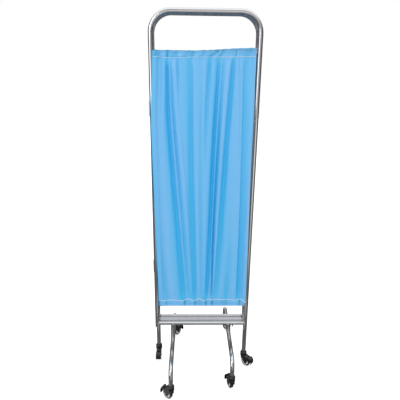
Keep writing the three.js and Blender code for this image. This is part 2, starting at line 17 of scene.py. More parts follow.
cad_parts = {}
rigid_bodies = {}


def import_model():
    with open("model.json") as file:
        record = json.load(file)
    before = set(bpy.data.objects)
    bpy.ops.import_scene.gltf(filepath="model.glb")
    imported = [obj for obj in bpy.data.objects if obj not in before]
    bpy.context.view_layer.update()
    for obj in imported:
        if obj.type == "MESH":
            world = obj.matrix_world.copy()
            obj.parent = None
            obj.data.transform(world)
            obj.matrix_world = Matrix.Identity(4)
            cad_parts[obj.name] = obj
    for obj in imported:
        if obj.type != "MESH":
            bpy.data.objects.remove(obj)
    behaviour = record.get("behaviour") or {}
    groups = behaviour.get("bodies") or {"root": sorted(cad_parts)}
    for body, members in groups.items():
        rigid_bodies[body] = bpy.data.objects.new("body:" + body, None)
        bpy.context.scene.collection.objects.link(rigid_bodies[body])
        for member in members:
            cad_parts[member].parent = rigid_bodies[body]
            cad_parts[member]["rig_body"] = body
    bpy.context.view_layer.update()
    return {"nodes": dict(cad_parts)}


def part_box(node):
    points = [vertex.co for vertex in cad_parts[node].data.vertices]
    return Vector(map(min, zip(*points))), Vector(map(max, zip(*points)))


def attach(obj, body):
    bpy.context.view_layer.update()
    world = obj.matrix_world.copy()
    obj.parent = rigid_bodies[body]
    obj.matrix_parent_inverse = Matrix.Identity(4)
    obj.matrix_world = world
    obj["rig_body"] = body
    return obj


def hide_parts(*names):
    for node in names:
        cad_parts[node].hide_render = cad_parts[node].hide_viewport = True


bl_info = {
    "name": "Ward privacy screen",
    "version": (1, 0, 0),
    "blender": (4, 5, 0),
    "location": "3D View > Sidebar > Ward screen",
    "description": "Builds a folding ward screen with gathered curtains on braked castors",
    "category": "Add Mesh",
}

MM = 0.001
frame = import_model()


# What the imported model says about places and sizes


def middle_of(node):
    low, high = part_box(node)
    return (low + high) / 2


def size_of(node):
    low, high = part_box(node)
    return high - low


OUTER_PANELS = ("front", "back")
PANELS = ("front", "middle", "back")
# Which way each panel faces: the back one is the front one turned half round
FACING = {"front": 1.0, "middle": 1.0, "back": -1.0}
CASTERS = ("front_leg", "front_foot_near", "front_foot_far", "back_leg", "back_foot_near", "back_foot_far")

TUBE_RADIUS = size_of("front_frame").y / 2
PANEL_AT = {name: Vector((middle_of(f"{name}_crossbar").x, middle_of(f"{name}_frame").y, 0)) for name in PANELS}
HALF_SPAN = middle_of("front_leg_caster_stem").x - PANEL_AT["front"].x
TOP_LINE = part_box("front_frame")[1].z - TUBE_RADIUS
CROSSBAR_HEIGHT = middle_of("front_crossbar").z
LEG_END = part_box("front_frame")[0].z
CAP_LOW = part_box("middle_frame")[0].z
FOOT_OFFSET = PANEL_AT["front"].x - middle_of("front_foot").x
FOOT_HALF_SPAN = size_of("front_foot").y / 2 - TUBE_RADIUS
TOP_ROD_HEIGHT = middle_of("front_top_rod").z
BOTTOM_ROD_HEIGHT = middle_of("front_bottom_rod").z
ROD_HALF_LENGTH = size_of("front_top_rod").x / 2
ROD_RADIUS = size_of("front_top_rod").z / 2
AXLE_HEIGHT = middle_of("front_leg_caster_tyre").z
HEAD_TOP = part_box("front_leg_caster_yoke")[1].z
HINGES = tuple(f"{panel}_{level}_hinge" for panel in OUTER_PANELS for level in ("upper", "lower"))


# Sizes and colours that a user would change


class TubeSettings(PropertyGroup):
    """The steel tubes, their bends and welds."""

    wall: FloatProperty(
        name="Tube wall", description="Thickness of the tube's wall", default=1.2 * MM, unit="LENGTH")
    bend: FloatProperty(
        name="Top bend", description="Centreline radius of the frame's top corners", default=86 * MM, unit="LENGTH")
    foot_bend: FloatProperty(
        name="Foot bend", description="Centreline radius of the foot's corners", default=48 * MM, unit="LENGTH")
    post: FloatProperty(
        name="Post", description="From the crossbar's centreline down to the arch's", default=95 * MM, unit="LENGTH")
    bead: FloatProperty(
        name="Weld bead", description="Radius of a weld bead", default=1.3 * MM, unit="LENGTH")
    steel: FloatVectorProperty(
        name="Steel", description="Colour of the polished steel", default=(0.62, 0.625, 0.64),
        subtype="COLOR", min=0, max=1)


class CurtainSettings(PropertyGroup):
    """The curtains: their colour, pockets and folds."""

    # colour is the cloth's painted highlight on its ridges, deep its painted shade down in the folds
    colour: FloatVectorProperty(
        name="Cloth", description="Colour of the cloth where it faces the light", default=(0.205, 0.505, 0.89),
        subtype="COLOR", min=0, max=1)
    deep: FloatVectorProperty(
        name="Cloth in folds", description="Colour of the cloth down in its folds", default=(0.024, 0.475, 0.85),
        subtype="COLOR", min=0, max=1)
    thread: FloatVectorProperty(
        name="Thread", description="Colour of the stitching", default=(0.84, 0.97, 1.0),
        subtype="COLOR", min=0, max=1)
    fold_depth: FloatProperty(
        name="Fold depth", description="Depth of the deepest fold", default=19 * MM, unit="LENGTH")
    top_pocket: FloatProperty(
        name="Top pocket", description="From the top rod down to the stitches", default=31 * MM, unit="LENGTH")
    bottom_pocket: FloatProperty(
        name="Bottom pocket", description="From the bottom rod up to the lowest stitches", default=18 * MM,
        unit="LENGTH")
    columns: IntProperty(
        name="Columns", description="Faces across a curtain", default=300, min=40, max=600)
    rows: IntProperty(
        name="Rows", description="Faces down a curtain between its stitches", default=110, min=20, max=400)


class CasterSettings(PropertyGroup):
    """The castors: forks, wheels and pedals."""

    black: FloatVectorProperty(
        name="Black plastic", description="Colour of forks and pedals", default=(0.007, 0.0073, 0.008),
        subtype="COLOR", min=0, max=1)
    grey: FloatVectorProperty(
        name="Wheel centre", description="Colour of the wheel centres", default=(0.78, 0.79, 0.80),
        subtype="COLOR", min=0, max=1)
    tyre: FloatVectorProperty(
        name="Tyre", description="Colour of the tyres", default=(0.016, 0.016, 0.017),
        subtype="COLOR", min=0, max=1)
    voxel: FloatProperty(
        name="Moulding detail", description="Grid that the moulded plastic is joined on", default=0.8 * MM,
        unit="LENGTH")


class StageSettings(PropertyGroup):
    """The camera, floor and light."""

    focal: FloatProperty(name="Focal length", description="In pixels of a 400 pixel frame", default=375.7)
    distance: FloatProperty(
        name="Camera distance", description="In front of the front panel", default=1.719, unit="LENGTH")
    below_top: FloatProperty(
        name="Camera below top", description="Under the top of the screen", default=0.286, unit="LENGTH")
    across: FloatProperty(name="Camera across", description="From the panel's middle", default=-0.055, unit="LENGTH")
    yaw: FloatProperty(name="Yaw", description="Turn to the right", default=0.0227, subtype="ANGLE")
    pitch: FloatProperty(name="Pitch", description="Tilt down", default=0.2961, subtype="ANGLE")
    roll: FloatProperty(name="Roll", description="Tilt of the horizon", default=0.0124, subtype="ANGLE")
    lamp: FloatProperty(name="Key lamp", description="Power of the lamp in watts", default=14.0)
    screen: FloatProperty(name="White screen", description="Brightness of the reflected white screen", default=1.8)
    sky: FloatProperty(name="Sky", description="Strength of the light from all round", default=1.0)


class WardScreenSettings(PropertyGroup):
    """All the settings of the screen."""

    tube: PointerProperty(type=TubeSettings)
    curtain: PointerProperty(type=CurtainSettings)
    caster: PointerProperty(type=CasterSettings)
    stage: PointerProperty(type=StageSettings)


def settings():
    return bpy.context.scene.ward_screen


# Shader maths


class Socket:
    """One value in a node tree, on which arithmetic adds Math nodes."""

    def __init__(self, shader, socket):
        self.shader = shader
        self.socket = socket

    def _math(self, operation, *values, clamp=False):
        return self.shader.node("ShaderNodeMath", {"operation": operation, "use_clamp": clamp}, values)

    def __add__(self, other):
        return self._math("ADD", self, other)

    __radd__ = __add__

    def __sub__(self, other):
        return self._math("SUBTRACT", self, other)

    def __rsub__(self, other):
        return self._math("SUBTRACT", other, self)

    def __mul__(self, other):
        return self._math("MULTIPLY", self, other)

    __rmul__ = __mul__

    def sine(self):
        return self._math("SINE", self)

    def size(self):
        return self._math("ABSOLUTE", self)

    def clamped(self):
        return self._math("ADD", self, 0.0, clamp=True)

    def above(self, edge, soft):
        """0 below edge, 1 above edge + soft."""
        return self.shader.node(
            "ShaderNodeMapRange", {"interpolation_type": "SMOOTHSTEP"},
            {"Value": self, "From Min": edge, "From Max": edge + soft})


class Shader:
    """The node tree of a material or of the world, written as expressions."""

    def __init__(self, owner):
        owner.use_nodes = True
        self.owner = owner
        self.tree = owner.node_tree
        self.tree.nodes.clear()

    def node(self, kind, options=None, inputs=(), output=0):
        """Adds a node with its settings and its inputs; gives one output, or all of them for output None."""
        node = self.tree.nodes.new(kind)
        for key, value in (options or {}).items():
            if key == "stops":
                self._set_stops(node.color_ramp.elements, value)
            else:
                setattr(node, key, value)
        for key, value in inputs.items() if isinstance(inputs, dict) else enumerate(inputs):
            if isinstance(value, Socket):
                self.tree.links.new(value.socket, node.inputs[key])
            else:
                node.inputs[key].default_value = value
        if output is None:
            return [Socket(self, out) for out in node.outputs]
        return Socket(self, node.outputs[output]) if node.outputs else None

    def _set_stops(self, elements, stops):
        while len(elements) < len(stops):
            elements.new(0.5)
        for element, (at, colour) in zip(elements, stops):
            element.position = at
            element.color = (*colour, 1)

    def vector(self, operation, *values, output=0):
        return self.node("ShaderNodeVectorMath", {"operation": operation}, values, output)

    def place(self):
        return self.node("ShaderNodeTexCoord", output="Object")

    def axes(self, vector):
        return self.node("ShaderNodeSeparateXYZ", inputs=(vector,), output=None)

    def stretched(self, vector, scale):
        return self.vector("MULTIPLY", vector, scale)

    def grain(self, vector, scale, detail=3.0, roughness=0.55):
        return self.node(
            "ShaderNodeTexNoise", {},
            {"Vector": vector, "Scale": scale, "Detail": detail, "Roughness": roughness})

    def ramp(self, value, *stops):
        return self.node("ShaderNodeValToRGB", {"stops": stops}, (value,))

    def mixed(self, factor, first, second):
        return self.node(
            "ShaderNodeMix", {"data_type": "RGBA"}, {"Factor": factor, "A": first, "B": second}, "Result")

    def bump(self, height, strength, distance, under=None):
        inputs = {"Height": height, "Strength": strength, "Distance": distance}
        if under is not None:
            inputs["Normal"] = under
        return self.node("ShaderNodeBump", {}, inputs)

    def chosen(self, factor, first, second):
        """One shader where the factor is 0 and the other where it is 1."""
        return self.node("ShaderNodeMixShader", {}, (factor, first, second))

    def surface(self, shader, output="ShaderNodeOutputMaterial"):
        self.node(output, {}, {"Surface": shader})
        return self.owner

    def finish(self, **inputs):
        named = {key.replace("_", " "): value for key, value in inputs.items()}
        return self.surface(self.node("ShaderNodeBsdfPrincipled", {}, named))


def material(name):
    return Shader(bpy.data.materials.new(name))


def rgba(colour, scale=1.0):
    return (*(channel * scale for channel in colour), 1.0)


def made_once(make):
    """Keeps one material for each maker, so that like pieces share it."""
    kept = {}

    def give():
        if make not in kept:
            kept[make] = make()
        return kept[make]

    return give


@made_once
def polished_steel():
    shader = material("polished_steel")
    place = shader.place()
    colour = settings().tube.steel
    cloudy = shader.grain(place, 34.0, 4.0)
    brushed = shader.grain(shader.stretched(place, (1.0, 1.0, 14.0)), 240.0, 2.0)
    smears = shader.grain(shader.stretched(place, (5.0, 5.0, 1.0)), 9.0, 5.0, 0.65).above(0.52, 0.22)
    tint = shader.mixed(cloudy, rgba(colour, 0.94), rgba(colour, 1.06))
    shade = shader.mixed(smears * 0.25, tint, rgba(colour, 0.86))
    rough = 0.085 + cloudy * 0.05 + smears * 0.07
    return shader.finish(
        Base_Color=shade, Metallic=1.0, Roughness=rough, Normal=shader.bump(brushed, 0.06, 0.2 * MM))


@made_once
def weld_steel():
    shader = material("weld_steel")
    place = shader.place()
    ripple = shader.grain(place, 900.0, 2.0)
    heat = shader.grain(place, 60.0, 2.0).above(0.5, 0.2)
    shade = shader.mixed(heat, (0.50, 0.47, 0.43, 1.0), (0.40, 0.41, 0.47, 1.0))
    return shader.finish(
        Base_Color=shade, Metallic=1.0, Roughness=0.26 + ripple * 0.2, Normal=shader.bump(ripple, 0.5, 0.3 * MM))


WARP_PITCH, WEFT_PITCH = 0.62 * MM, 0.70 * MM


@made_once
def curtain_blue():
    """Satin-faced cloth, paler on its ridges as painted highlight and deeper blue in its folds as painted shade."""
    shader = material("curtain_blue")
    place = shader.place()
    across, _, up = shader.axes(place)
    curtain = settings().curtain
    fold, dim = (shader.node("ShaderNodeAttribute", {"attribute_name": name}, output="Fac")
                 for name in ("fold", "shade"))
    weave = (across * (2 * math.pi / WARP_PITCH)).sine() * (up * (2 * math.pi / WEFT_PITCH)).sine()
    slub = shader.grain(shader.stretched(place, (8.0, 8.0, 240.0)), 6.0, 2.0)
    cloudy = shader.grain(place, 7.0, 4.0)
    crush = shader.grain(shader.stretched(place, (1.0, 1.0, 0.45)), 46.0, 5.0, 0.62)
    # the fold attribute lays painted highlight on the ridges and painted shade in the folds; cloudy tone, slubs and
    # weave are the cloth's own
    painted_fold_light_and_tone = (fold + (cloudy - 0.5) * 0.14 + (slub - 0.5) * 0.05 + weave * 0.03).clamped()
    # the shade attribute mixes in painted shade, towards black
    shade = shader.mixed(dim, shader.mixed(painted_fold_light_and_tone, rgba(curtain.deep), rgba(curtain.colour)), (0, 0, 0, 1))
    relief = shader.bump(weave, 0.2, 0.12 * MM, under=shader.bump(crush, 0.12, 2.2 * MM))
    return shader.finish(
        Base_Color=shade, Roughness=0.46 + cloudy * 0.1, Normal=relief, Specular_IOR_Level=0.7,
        Sheen_Weight=0.1, Sheen_Roughness=0.5, Sheen_Tint=(0.85, 0.93, 1.0, 1.0))


@made_once
def stitch_thread():
    shader = material("stitch_thread")
    twist = shader.grain(shader.place(), 1500.0, 2.0)
    colour = settings().curtain.thread
    shade = shader.mixed(twist, rgba(colour, 0.9), rgba(colour, 1.05))
    return shader.finish(Base_Color=shade, Roughness=0.55, Normal=shader.bump(twist, 0.3, 0.1 * MM))


@made_once
def moulded_black():
    shader = material("moulded_black")
    place = shader.place()
    colour = settings().caster.black
    grit = shader.grain(place, 1300.0, 2.0)
    dust = shader.grain(place, 90.0, 4.0).above(0.55, 0.25)
    shade = shader.mixed(dust * 0.15, rgba(colour), (0.04, 0.04, 0.042, 1.0))
    return shader.finish(
        Base_Color=shade, Roughness=0.2 + dust * 0.2, Normal=shader.bump(grit, 0.10, 0.08 * MM),
        Specular_IOR_Level=0.7)


@made_once
def tread_rubber():
    shader = material("tread_rubber")
    place = shader.place()
    colour = settings().caster.tyre
    grit = shader.grain(place, 700.0, 3.0)
    scuff = shader.grain(place, 120.0, 4.0).above(0.5, 0.2)
    shade = shader.mixed(scuff * 0.5, rgba(colour), (0.055, 0.054, 0.053, 1.0))
    return shader.finish(
        Base_Color=shade, Roughness=0.58 + scuff * 0.2, Normal=shader.bump(grit, 0.25, 0.12 * MM))


@made_once
def hub_grey():
    shader = material("hub_grey")
    place = shader.place()
    colour = settings().caster.grey
    grit = shader.grain(place, 800.0, 2.0)
    dust = shader.grain(place, 110.0, 4.0)
    shade = shader.mixed(dust.above(0.5, 0.3) * 0.35, rgba(colour), rgba(colour, 0.62))
    return shader.finish(
        Base_Color=shade, Roughness=0.36 + dust * 0.15, Normal=shader.bump(grit, 0.12, 0.08 * MM))


# Mesh makers


def mesh_from(bm, name):
    mesh = bpy.data.meshes.new(name)
    bm.to_mesh(mesh)
    bm.free()
    return mesh


def in_scene(name, data):
    obj = bpy.data.objects.new(name, data)
    bpy.context.scene.collection.objects.link(obj)
    return obj


def piece(name, bm, material, node, replaces=True, smooth_angle=40):
    """Turns a bmesh into a finished piece that rides with a node, and as a rule takes its place."""
    bmesh.ops.recalc_face_normals(bm, faces=bm.faces)
    mesh = mesh_from(bm, name)
    obj = in_scene(name, mesh)
    mesh.materials.append(material)
    mesh.shade_smooth()
    mesh.set_sharp_from_angle(angle=math.radians(smooth_angle))
    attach(obj, frame["nodes"][node]["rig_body"])
    if replaces:
        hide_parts(node)
    return obj


def bridge(bm, first, second, closed=True):
    count = len(first)
    for i in range(count if closed else count - 1):
        j = (i + 1) % count
        bm.faces.new((first[i], first[j], second[j], second[i]))


def loft(bm, rings, wrap=False):
    """Skins closed rings of points, each a list of the same length, and closes the ends."""
    loops = [[bm.verts.new(point) for point in ring] for ring in rings]
    for first, second in zip(loops, loops[1:]):
        bridge(bm, first, second)
    if wrap:
        bridge(bm, loops[-1], loops[0])
    else:
        bm.faces.new(loops[0])
        bm.faces.new(reversed(loops[-1]))


class Station:
    """A place on a tube's centreline: its point and its direction."""

    def __init__(self, point, direction):
        self.point = Vector(point)
        self.direction = Vector(direction).normalized()


def bent_line(corners, radius=0, steps=1):
    """Stations along straight runs joined by round bends."""
    corners = [Vector(corner) for corner in corners]
    stations = [Station(corners[0], corners[1] - corners[0])]
    for before, corner, after in zip(corners, corners[1:], corners[2:]):
        arriving = (corner - before).normalized()
        leaving = (after - corner).normalized()
        turn = arriving.angle(leaving)
        start = corner - arriving * radius * math.tan(turn / 2)
        inward = (leaving - arriving * leaving.dot(arriving)).normalized()
        for step in range(steps + 1):
            angle = turn * step / steps
            stations.append(Station(
                start + arriving * radius * math.sin(angle) + inward * radius * (1 - math.cos(angle)),
                arriving * math.cos(angle) + inward * math.sin(angle)))
    stations.append(Station(corners[-1], corners[-1] - corners[-2]))
    return stations


def circle_at(station, normal, radius, sides):
    side = Vector(normal)
    other = station.direction.cross(side).normalized()
    return [
        station.point + side * (radius * math.cos(angle)) + other * (radius * math.sin(angle))
        for angle in (2 * math.pi * i / sides for i in range(sides))]


def open_tube(bm, stations, normal, radius, wall, sides=36, rim=0.35 * MM):
    """A tube with a hollow bore and softly broken rims."""
    first, last = stations[0], stations[-1]
    tip_in = Station(first.point + first.direction * rim, first.direction)
    tip_out = Station(last.point - last.direction * rim, last.direction)
    line = [tip_in, *stations[1:-1], tip_out]
    outer = [circle_at(first, normal, radius - rim, sides)]
    outer += [circle_at(station, normal, radius, sides) for station in line]
    outer.append(circle_at(last, normal, radius - rim, sides))
    inner = [circle_at(station, normal, radius - wall, sides) for station in reversed(stations)]
    loft(bm, outer + inner, wrap=True)


def solid_bar(bm, start, end, normal, radius, sides=24, rim=0.4 * MM):
    start, end = Vector(start), Vector(end)
    along = (end - start).normalized()
    rings = [
        circle_at(Station(start, along), normal, radius - rim, sides),
        circle_at(Station(start + along * rim, along), normal, radius, sides),
        circle_at(Station(end - along * rim, along), normal, radius, sides),
        circle_at(Station(end, along), normal, radius - rim, sides)]
    loft(bm, rings)


def turned(bm, profile, sides, closed=False, at=(0, 0, 0)):
    """Turns a profile of (radius, height) round an upright axis; points on the axis close it."""
    rings = []
    for radius, height in profile:
        if radius < 1e-9:
            rings.append([bm.verts.new((0, 0, height))])
        else:
            rings.append([
                bm.verts.new((radius * math.cos(angle), radius * math.sin(angle), height))
                for angle in (2 * math.pi * i / sides for i in range(sides))])
    pairs = list(zip(rings, rings[1:]))
    if closed:
        pairs.append((rings[-1], rings[0]))
    for first, second in pairs:
        if len(first) == 1:
            for i in range(sides):
                bm.faces.new((first[0], second[(i + 1) % sides], second[i]))
        elif len(second) == 1:
            for i in range(sides):
                bm.faces.new((first[i], first[(i + 1) % sides], second[0]))
        else:
            bridge(bm, first, second)
    bmesh.ops.translate(bm, verts=[vert for ring in rings for vert in ring], vec=at)


def side_plate(bm, outline, low, high):
    """A flat outline of (x, z) points made solid from y = low to y = high."""
    loft(bm, [[(x, low, z) for x, z in outline], [(x, high, z) for x, z in outline]])


def arc(centre, radius, start, end, steps, rise=None):
    """Points on a circle, or on an oval as high as its rise, from one angle to another in degrees."""
    rise = radius if rise is None else rise
    return [
        (centre[0] + radius * math.cos(angle), centre[1] + rise * math.sin(angle))
        for angle in (math.radians(start + (end - start) * i / steps) for i in range(steps + 1))]


def bead_along(bm, points, outwards, radius, closed=True, sides=8, ripple_share=0.16, ripple_length=2.2 * MM):
    """A weld bead of small round sections along a line, rippled as laid weld metal is."""
    points = [Vector(point) for point in points]
    count = len(points)
    rings = []
    run = 0.0
    for i, point in enumerate(points):
        ahead = points[(i + 1) % count] if closed or i + 1 < count else point
        behind = points[i - 1] if closed or i else point
        along = (ahead - behind).normalized()
        run += (point - behind).length if i else 0.0
        swell = radius * (1 + ripple_share * math.sin(2 * math.pi * run / ripple_length))
        side = (outwards[i] - along * outwards[i].dot(along)).normalized()
        rings.append(circle_at(Station(point, along), side, swell, sides))
    loft(bm, rings, wrap=closed)


def moulded(bm, voxel, rounds):
    """Joins overlapping solids into one skin and softens its edges, as moulded plastic is."""
    bmesh.ops.recalc_face_normals(bm, faces=bm.faces)
    mesh = mesh_from(bm, "moulding")
    obj = in_scene("moulding", mesh)
    remesh = obj.modifiers.new("joined", "REMESH")
    remesh.mode = "VOXEL"
    remesh.voxel_size = voxel
    smooth = obj.modifiers.new("softened", "SMOOTH")
    smooth.iterations = rounds
    smooth.factor = 0.5
    bpy.context.view_layer.update()
    evaluated = obj.evaluated_get(bpy.context.evaluated_depsgraph_get())
    joined = bmesh.new()
    joined.from_mesh(evaluated.to_mesh())
    evaluated.to_mesh_clear()
    bpy.data.objects.remove(obj)
    bpy.data.meshes.remove(mesh)
    return joined


# Panel tubes


def local(panel, x, y, z):
    """A point of a panel, the back one turned half round."""
    centre = PANEL_AT[panel]
    way = FACING[panel]
    return Vector((centre.x + way * x, centre.y + way * y, z))


def domed_cap(bm, point, tube):
    """The welded cap on a hinge-side upright, with its vent hole, below the point."""
    drop = point.z - CAP_LOW
    outer, vent, shoulder = TUBE_RADIUS, 1.5 * MM, 3 * MM
    profile = [(vent, drop), (vent, 0), *arc((outer - shoulder, shoulder), shoulder, -90, 0, 6)]
    profile += [(outer, drop), (outer - tube.wall, drop)]
    turned(bm, profile, 36, closed=True, at=(point.x, point.y, CAP_LOW))


BEND_STEPS, FOOT_BEND_STEPS = 20, 14


def frame_piece(panel):
    """The bent tube, with a cap on each upright that doesn't run on as a leg."""
    tube = settings().tube
    has_leg = panel in OUTER_PANELS
    cap_top = CROSSBAR_HEIGHT - TUBE_RADIUS
    right_end = LEG_END if has_leg else cap_top
    corners = [local(panel, x, 0, z) for x, z in (
        (HALF_SPAN, right_end), (HALF_SPAN, TOP_LINE), (-HALF_SPAN, TOP_LINE), (-HALF_SPAN, cap_top))]
    bm = bmesh.new()
    open_tube(bm, bent_line(corners, tube.bend, BEND_STEPS), (0, 1, 0), TUBE_RADIUS, tube.wall)
    for side in (-1,) if has_leg else (-1, 1):
        domed_cap(bm, local(panel, side * HALF_SPAN, 0, cap_top), tube)
    piece(f"{panel}_frame_tube", bm, polished_steel(), f"{panel}_frame")


def crossbar_piece(panel):
    reach = HALF_SPAN - TUBE_RADIUS / 2
    bm = bmesh.new()
    line = [local(panel, -reach, 0, CROSSBAR_HEIGHT), local(panel, reach, 0, CROSSBAR_HEIGHT)]
    open_tube(bm, bent_line(line), (0, 0, 1), TUBE_RADIUS, settings().tube.wall)
    piece(f"{panel}_crossbar_tube", bm, polished_steel(), f"{panel}_crossbar")


def foot_piece(panel):
    tube = settings().tube
    arch = CROSSBAR_HEIGHT - tube.post
    bm = bmesh.new()
    corners = [local(panel, -FOOT_OFFSET, y, z) for y, z in (
        (-FOOT_HALF_SPAN, LEG_END), (-FOOT_HALF_SPAN, arch), (FOOT_HALF_SPAN, arch), (FOOT_HALF_SPAN, LEG_END))]
    open_tube(bm, bent_line(corners, tube.foot_bend, FOOT_BEND_STEPS), (1, 0, 0), TUBE_RADIUS, tube.wall)
    post = [
        local(panel, -FOOT_OFFSET, 0, arch + TUBE_RADIUS / 2),
        local(panel, -FOOT_OFFSET, 0, CROSSBAR_HEIGHT - TUBE_RADIUS / 2)]
    open_tube(bm, bent_line(post), (1, 0, 0), TUBE_RADIUS, tube.wall)
    piece(f"{panel}_foot_tube", bm, polished_steel(), f"{panel}_foot")


WELD_STEPS = 120


def saddle_weld(bm, centre, run_axis, reach_axis, bead):
    """A bead where a tube along reach_axis meets one along run_axis, both of one radius."""
    centre, run, reach = Vector(centre), Vector(run_axis), Vector(reach_axis)
    across = run.cross(reach)
    points, outwards = [], []
    for angle in (2 * math.pi * i / WELD_STEPS for i in range(WELD_STEPS)):
        side = TUBE_RADIUS * math.cos(angle)
        rise = TUBE_RADIUS * math.sin(angle)
        stand = math.sqrt(max(TUBE_RADIUS**2 - side**2, 0))
        points.append(centre + run * rise + across * side + reach * stand)
        outwards.append(reach + run * math.sin(angle))
    bead_along(bm, points, outwards, bead)


def welds_piece(panel):
    tube = settings().tube
    bm = bmesh.new()
    way = FACING[panel]
    for side in (-1, 1):
        joint = local(panel, side * HALF_SPAN, 0, CROSSBAR_HEIGHT)
        saddle_weld(bm, joint, (0, 0, 1), (-side * way, 0, 0), tube.bead)
    if panel in OUTER_PANELS:
        saddle_weld(bm, local(panel, -FOOT_OFFSET, 0, CROSSBAR_HEIGHT), (1, 0, 0), (0, 0, -1), tube.bead)
        saddle_weld(bm, local(panel, -FOOT_OFFSET, 0, CROSSBAR_HEIGHT - tube.post), (0, 1, 0), (0, 0, 1), tube.bead)
    piece(f"{panel}_welds", bm, weld_steel(), f"{panel}_frame", replaces=False)


def rod_pieces(panel):
    for level, height in (("top", TOP_ROD_HEIGHT), ("bottom", BOTTOM_ROD_HEIGHT)):
        bm = bmesh.new()
        left, right = (local(panel, side * ROD_HALF_LENGTH, 0, height) for side in (-1, 1))
        solid_bar(bm, left, right, (0, 1, 0), ROD_RADIUS)
        node = f"{panel}_{level}_rod"
        piece(f"{node}_bar", bm, polished_steel(), node)


# Hinges


PIN_RADIUS, PIN_HEAD, PIN_RIM, HEAD_LIFT = 1.6 * MM, 2.9 * MM, 0.3 * MM, 0.2 * MM
KNUCKLE_RADIUS, KNUCKLE_BORE, KNUCKLE_RIM, KNUCKLE_GAP = 3.5 * MM, 1.9 * MM, 0.35 * MM, 0.3 * MM
SADDLE_WALL, SADDLE_HALF_ANGLE, SADDLE_STEPS = 1.6 * MM, math.radians(25), 10
WEB_THICKNESS, WEB_START, WEB_OVERLAP = 2.4 * MM, 2.4 * MM, 0.6 * MM


def knuckle(bm, pin_at, bottom, top):
    """One rolled knuckle round the pin, its ends softly broken."""
    outer, soft = KNUCKLE_RADIUS, KNUCKLE_RIM
    profile = [
        (KNUCKLE_BORE, bottom), (outer - soft, bottom), (outer, bottom + soft),
        (outer, top - soft), (outer - soft, top), (KNUCKLE_BORE, top)]
    turned(bm, profile, 28, closed=True, at=(pin_at.x, pin_at.y, 0))


def upright_plate(bm, flat, bottom, top):
    """A flat outline of (x, y) points made solid from one height to another."""
    loft(bm, [[(x, y, height) for x, y in flat] for height in (bottom, top)])


def saddle(bm, tube_at, pin_at, bottom, top):
    """A curved plate that hugs an upright on the side towards the pin."""
    towards = math.atan2(pin_at.y - tube_at.y, pin_at.x - tube_at.x)
    angles = [towards + SADDLE_HALF_ANGLE * (2 * i / SADDLE_STEPS - 1) for i in range(SADDLE_STEPS + 1)]
    ring = [(TUBE_RADIUS, a) for a in angles] + [(TUBE_RADIUS + SADDLE_WALL, a) for a in reversed(angles)]
    flat = [(tube_at.x + r * math.cos(a), tube_at.y + r * math.sin(a)) for r, a in ring]
    upright_plate(bm, flat, bottom, top)


def web(bm, tube_at, pin_at, bottom, top):
    """The flat plate from a knuckle to its saddle."""
    along = (tube_at - pin_at).normalized()
    across = Vector((-along.y, along.x)) * (WEB_THICKNESS / 2)
    near = pin_at + along * WEB_START
    far = tube_at - along * (TUBE_RADIUS + WEB_OVERLAP)
    upright_plate(bm, (near - across, far - across, far + across, near + across), bottom, top)


def pin_mesh(node, pin_at, barrel_top):
    """The pin, with a domed head on the topmost knuckle."""
    low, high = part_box(node)
    seat = barrel_top + HEAD_LIFT
    profile = [(0, low.z), (PIN_RADIUS - PIN_RIM, low.z), (PIN_RADIUS, low.z + PIN_RIM), (PIN_RADIUS, seat)]
    profile += arc((0, seat), PIN_HEAD, 0, 75, 5, high.z - barrel_top - HEAD_LIFT)
    bm = bmesh.new()
    turned(bm, [*profile, (0, high.z)], 24, at=(pin_at.x, pin_at.y, 0))
    return bm


def hinge_pieces(label):
    """An outer leaf with two knuckles, an inner leaf with one, and the pin."""
    panel = label.split("_")[0]
    outer_node, inner_node, pin_node = (f"{label}_{part}" for part in ("outer_leaf", "inner_leaf", "pin"))
    low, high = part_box(outer_node)
    inner_low, inner_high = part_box(inner_node)
    pin_at = middle_of(pin_node).xy
    side = -FACING[panel]
    outer_tube = Vector((PANEL_AT[panel].x + side * HALF_SPAN, PANEL_AT[panel].y))
    inner_tube = Vector((PANEL_AT["middle"].x + side * HALF_SPAN, PANEL_AT["middle"].y))
    outer, inner = bmesh.new(), bmesh.new()
    saddle(outer, outer_tube, pin_at, low.z, high.z)
    for bottom, top in ((low.z, inner_low.z - KNUCKLE_GAP), (inner_high.z + KNUCKLE_GAP, high.z)):
        knuckle(outer, pin_at, bottom, top)
        web(outer, outer_tube, pin_at, bottom, top)
    saddle(inner, inner_tube, pin_at, inner_low.z, inner_high.z)
    knuckle(inner, pin_at, inner_low.z, inner_high.z)
    web(inner, inner_tube, pin_at, inner_low.z, inner_high.z)
    pin = pin_mesh(pin_node, pin_at, high.z)
    for bm, node in ((outer, outer_node), (inner, inner_node), (pin, pin_node)):
        piece(f"{node}_steel", bm, polished_steel(), node)


# Curtains

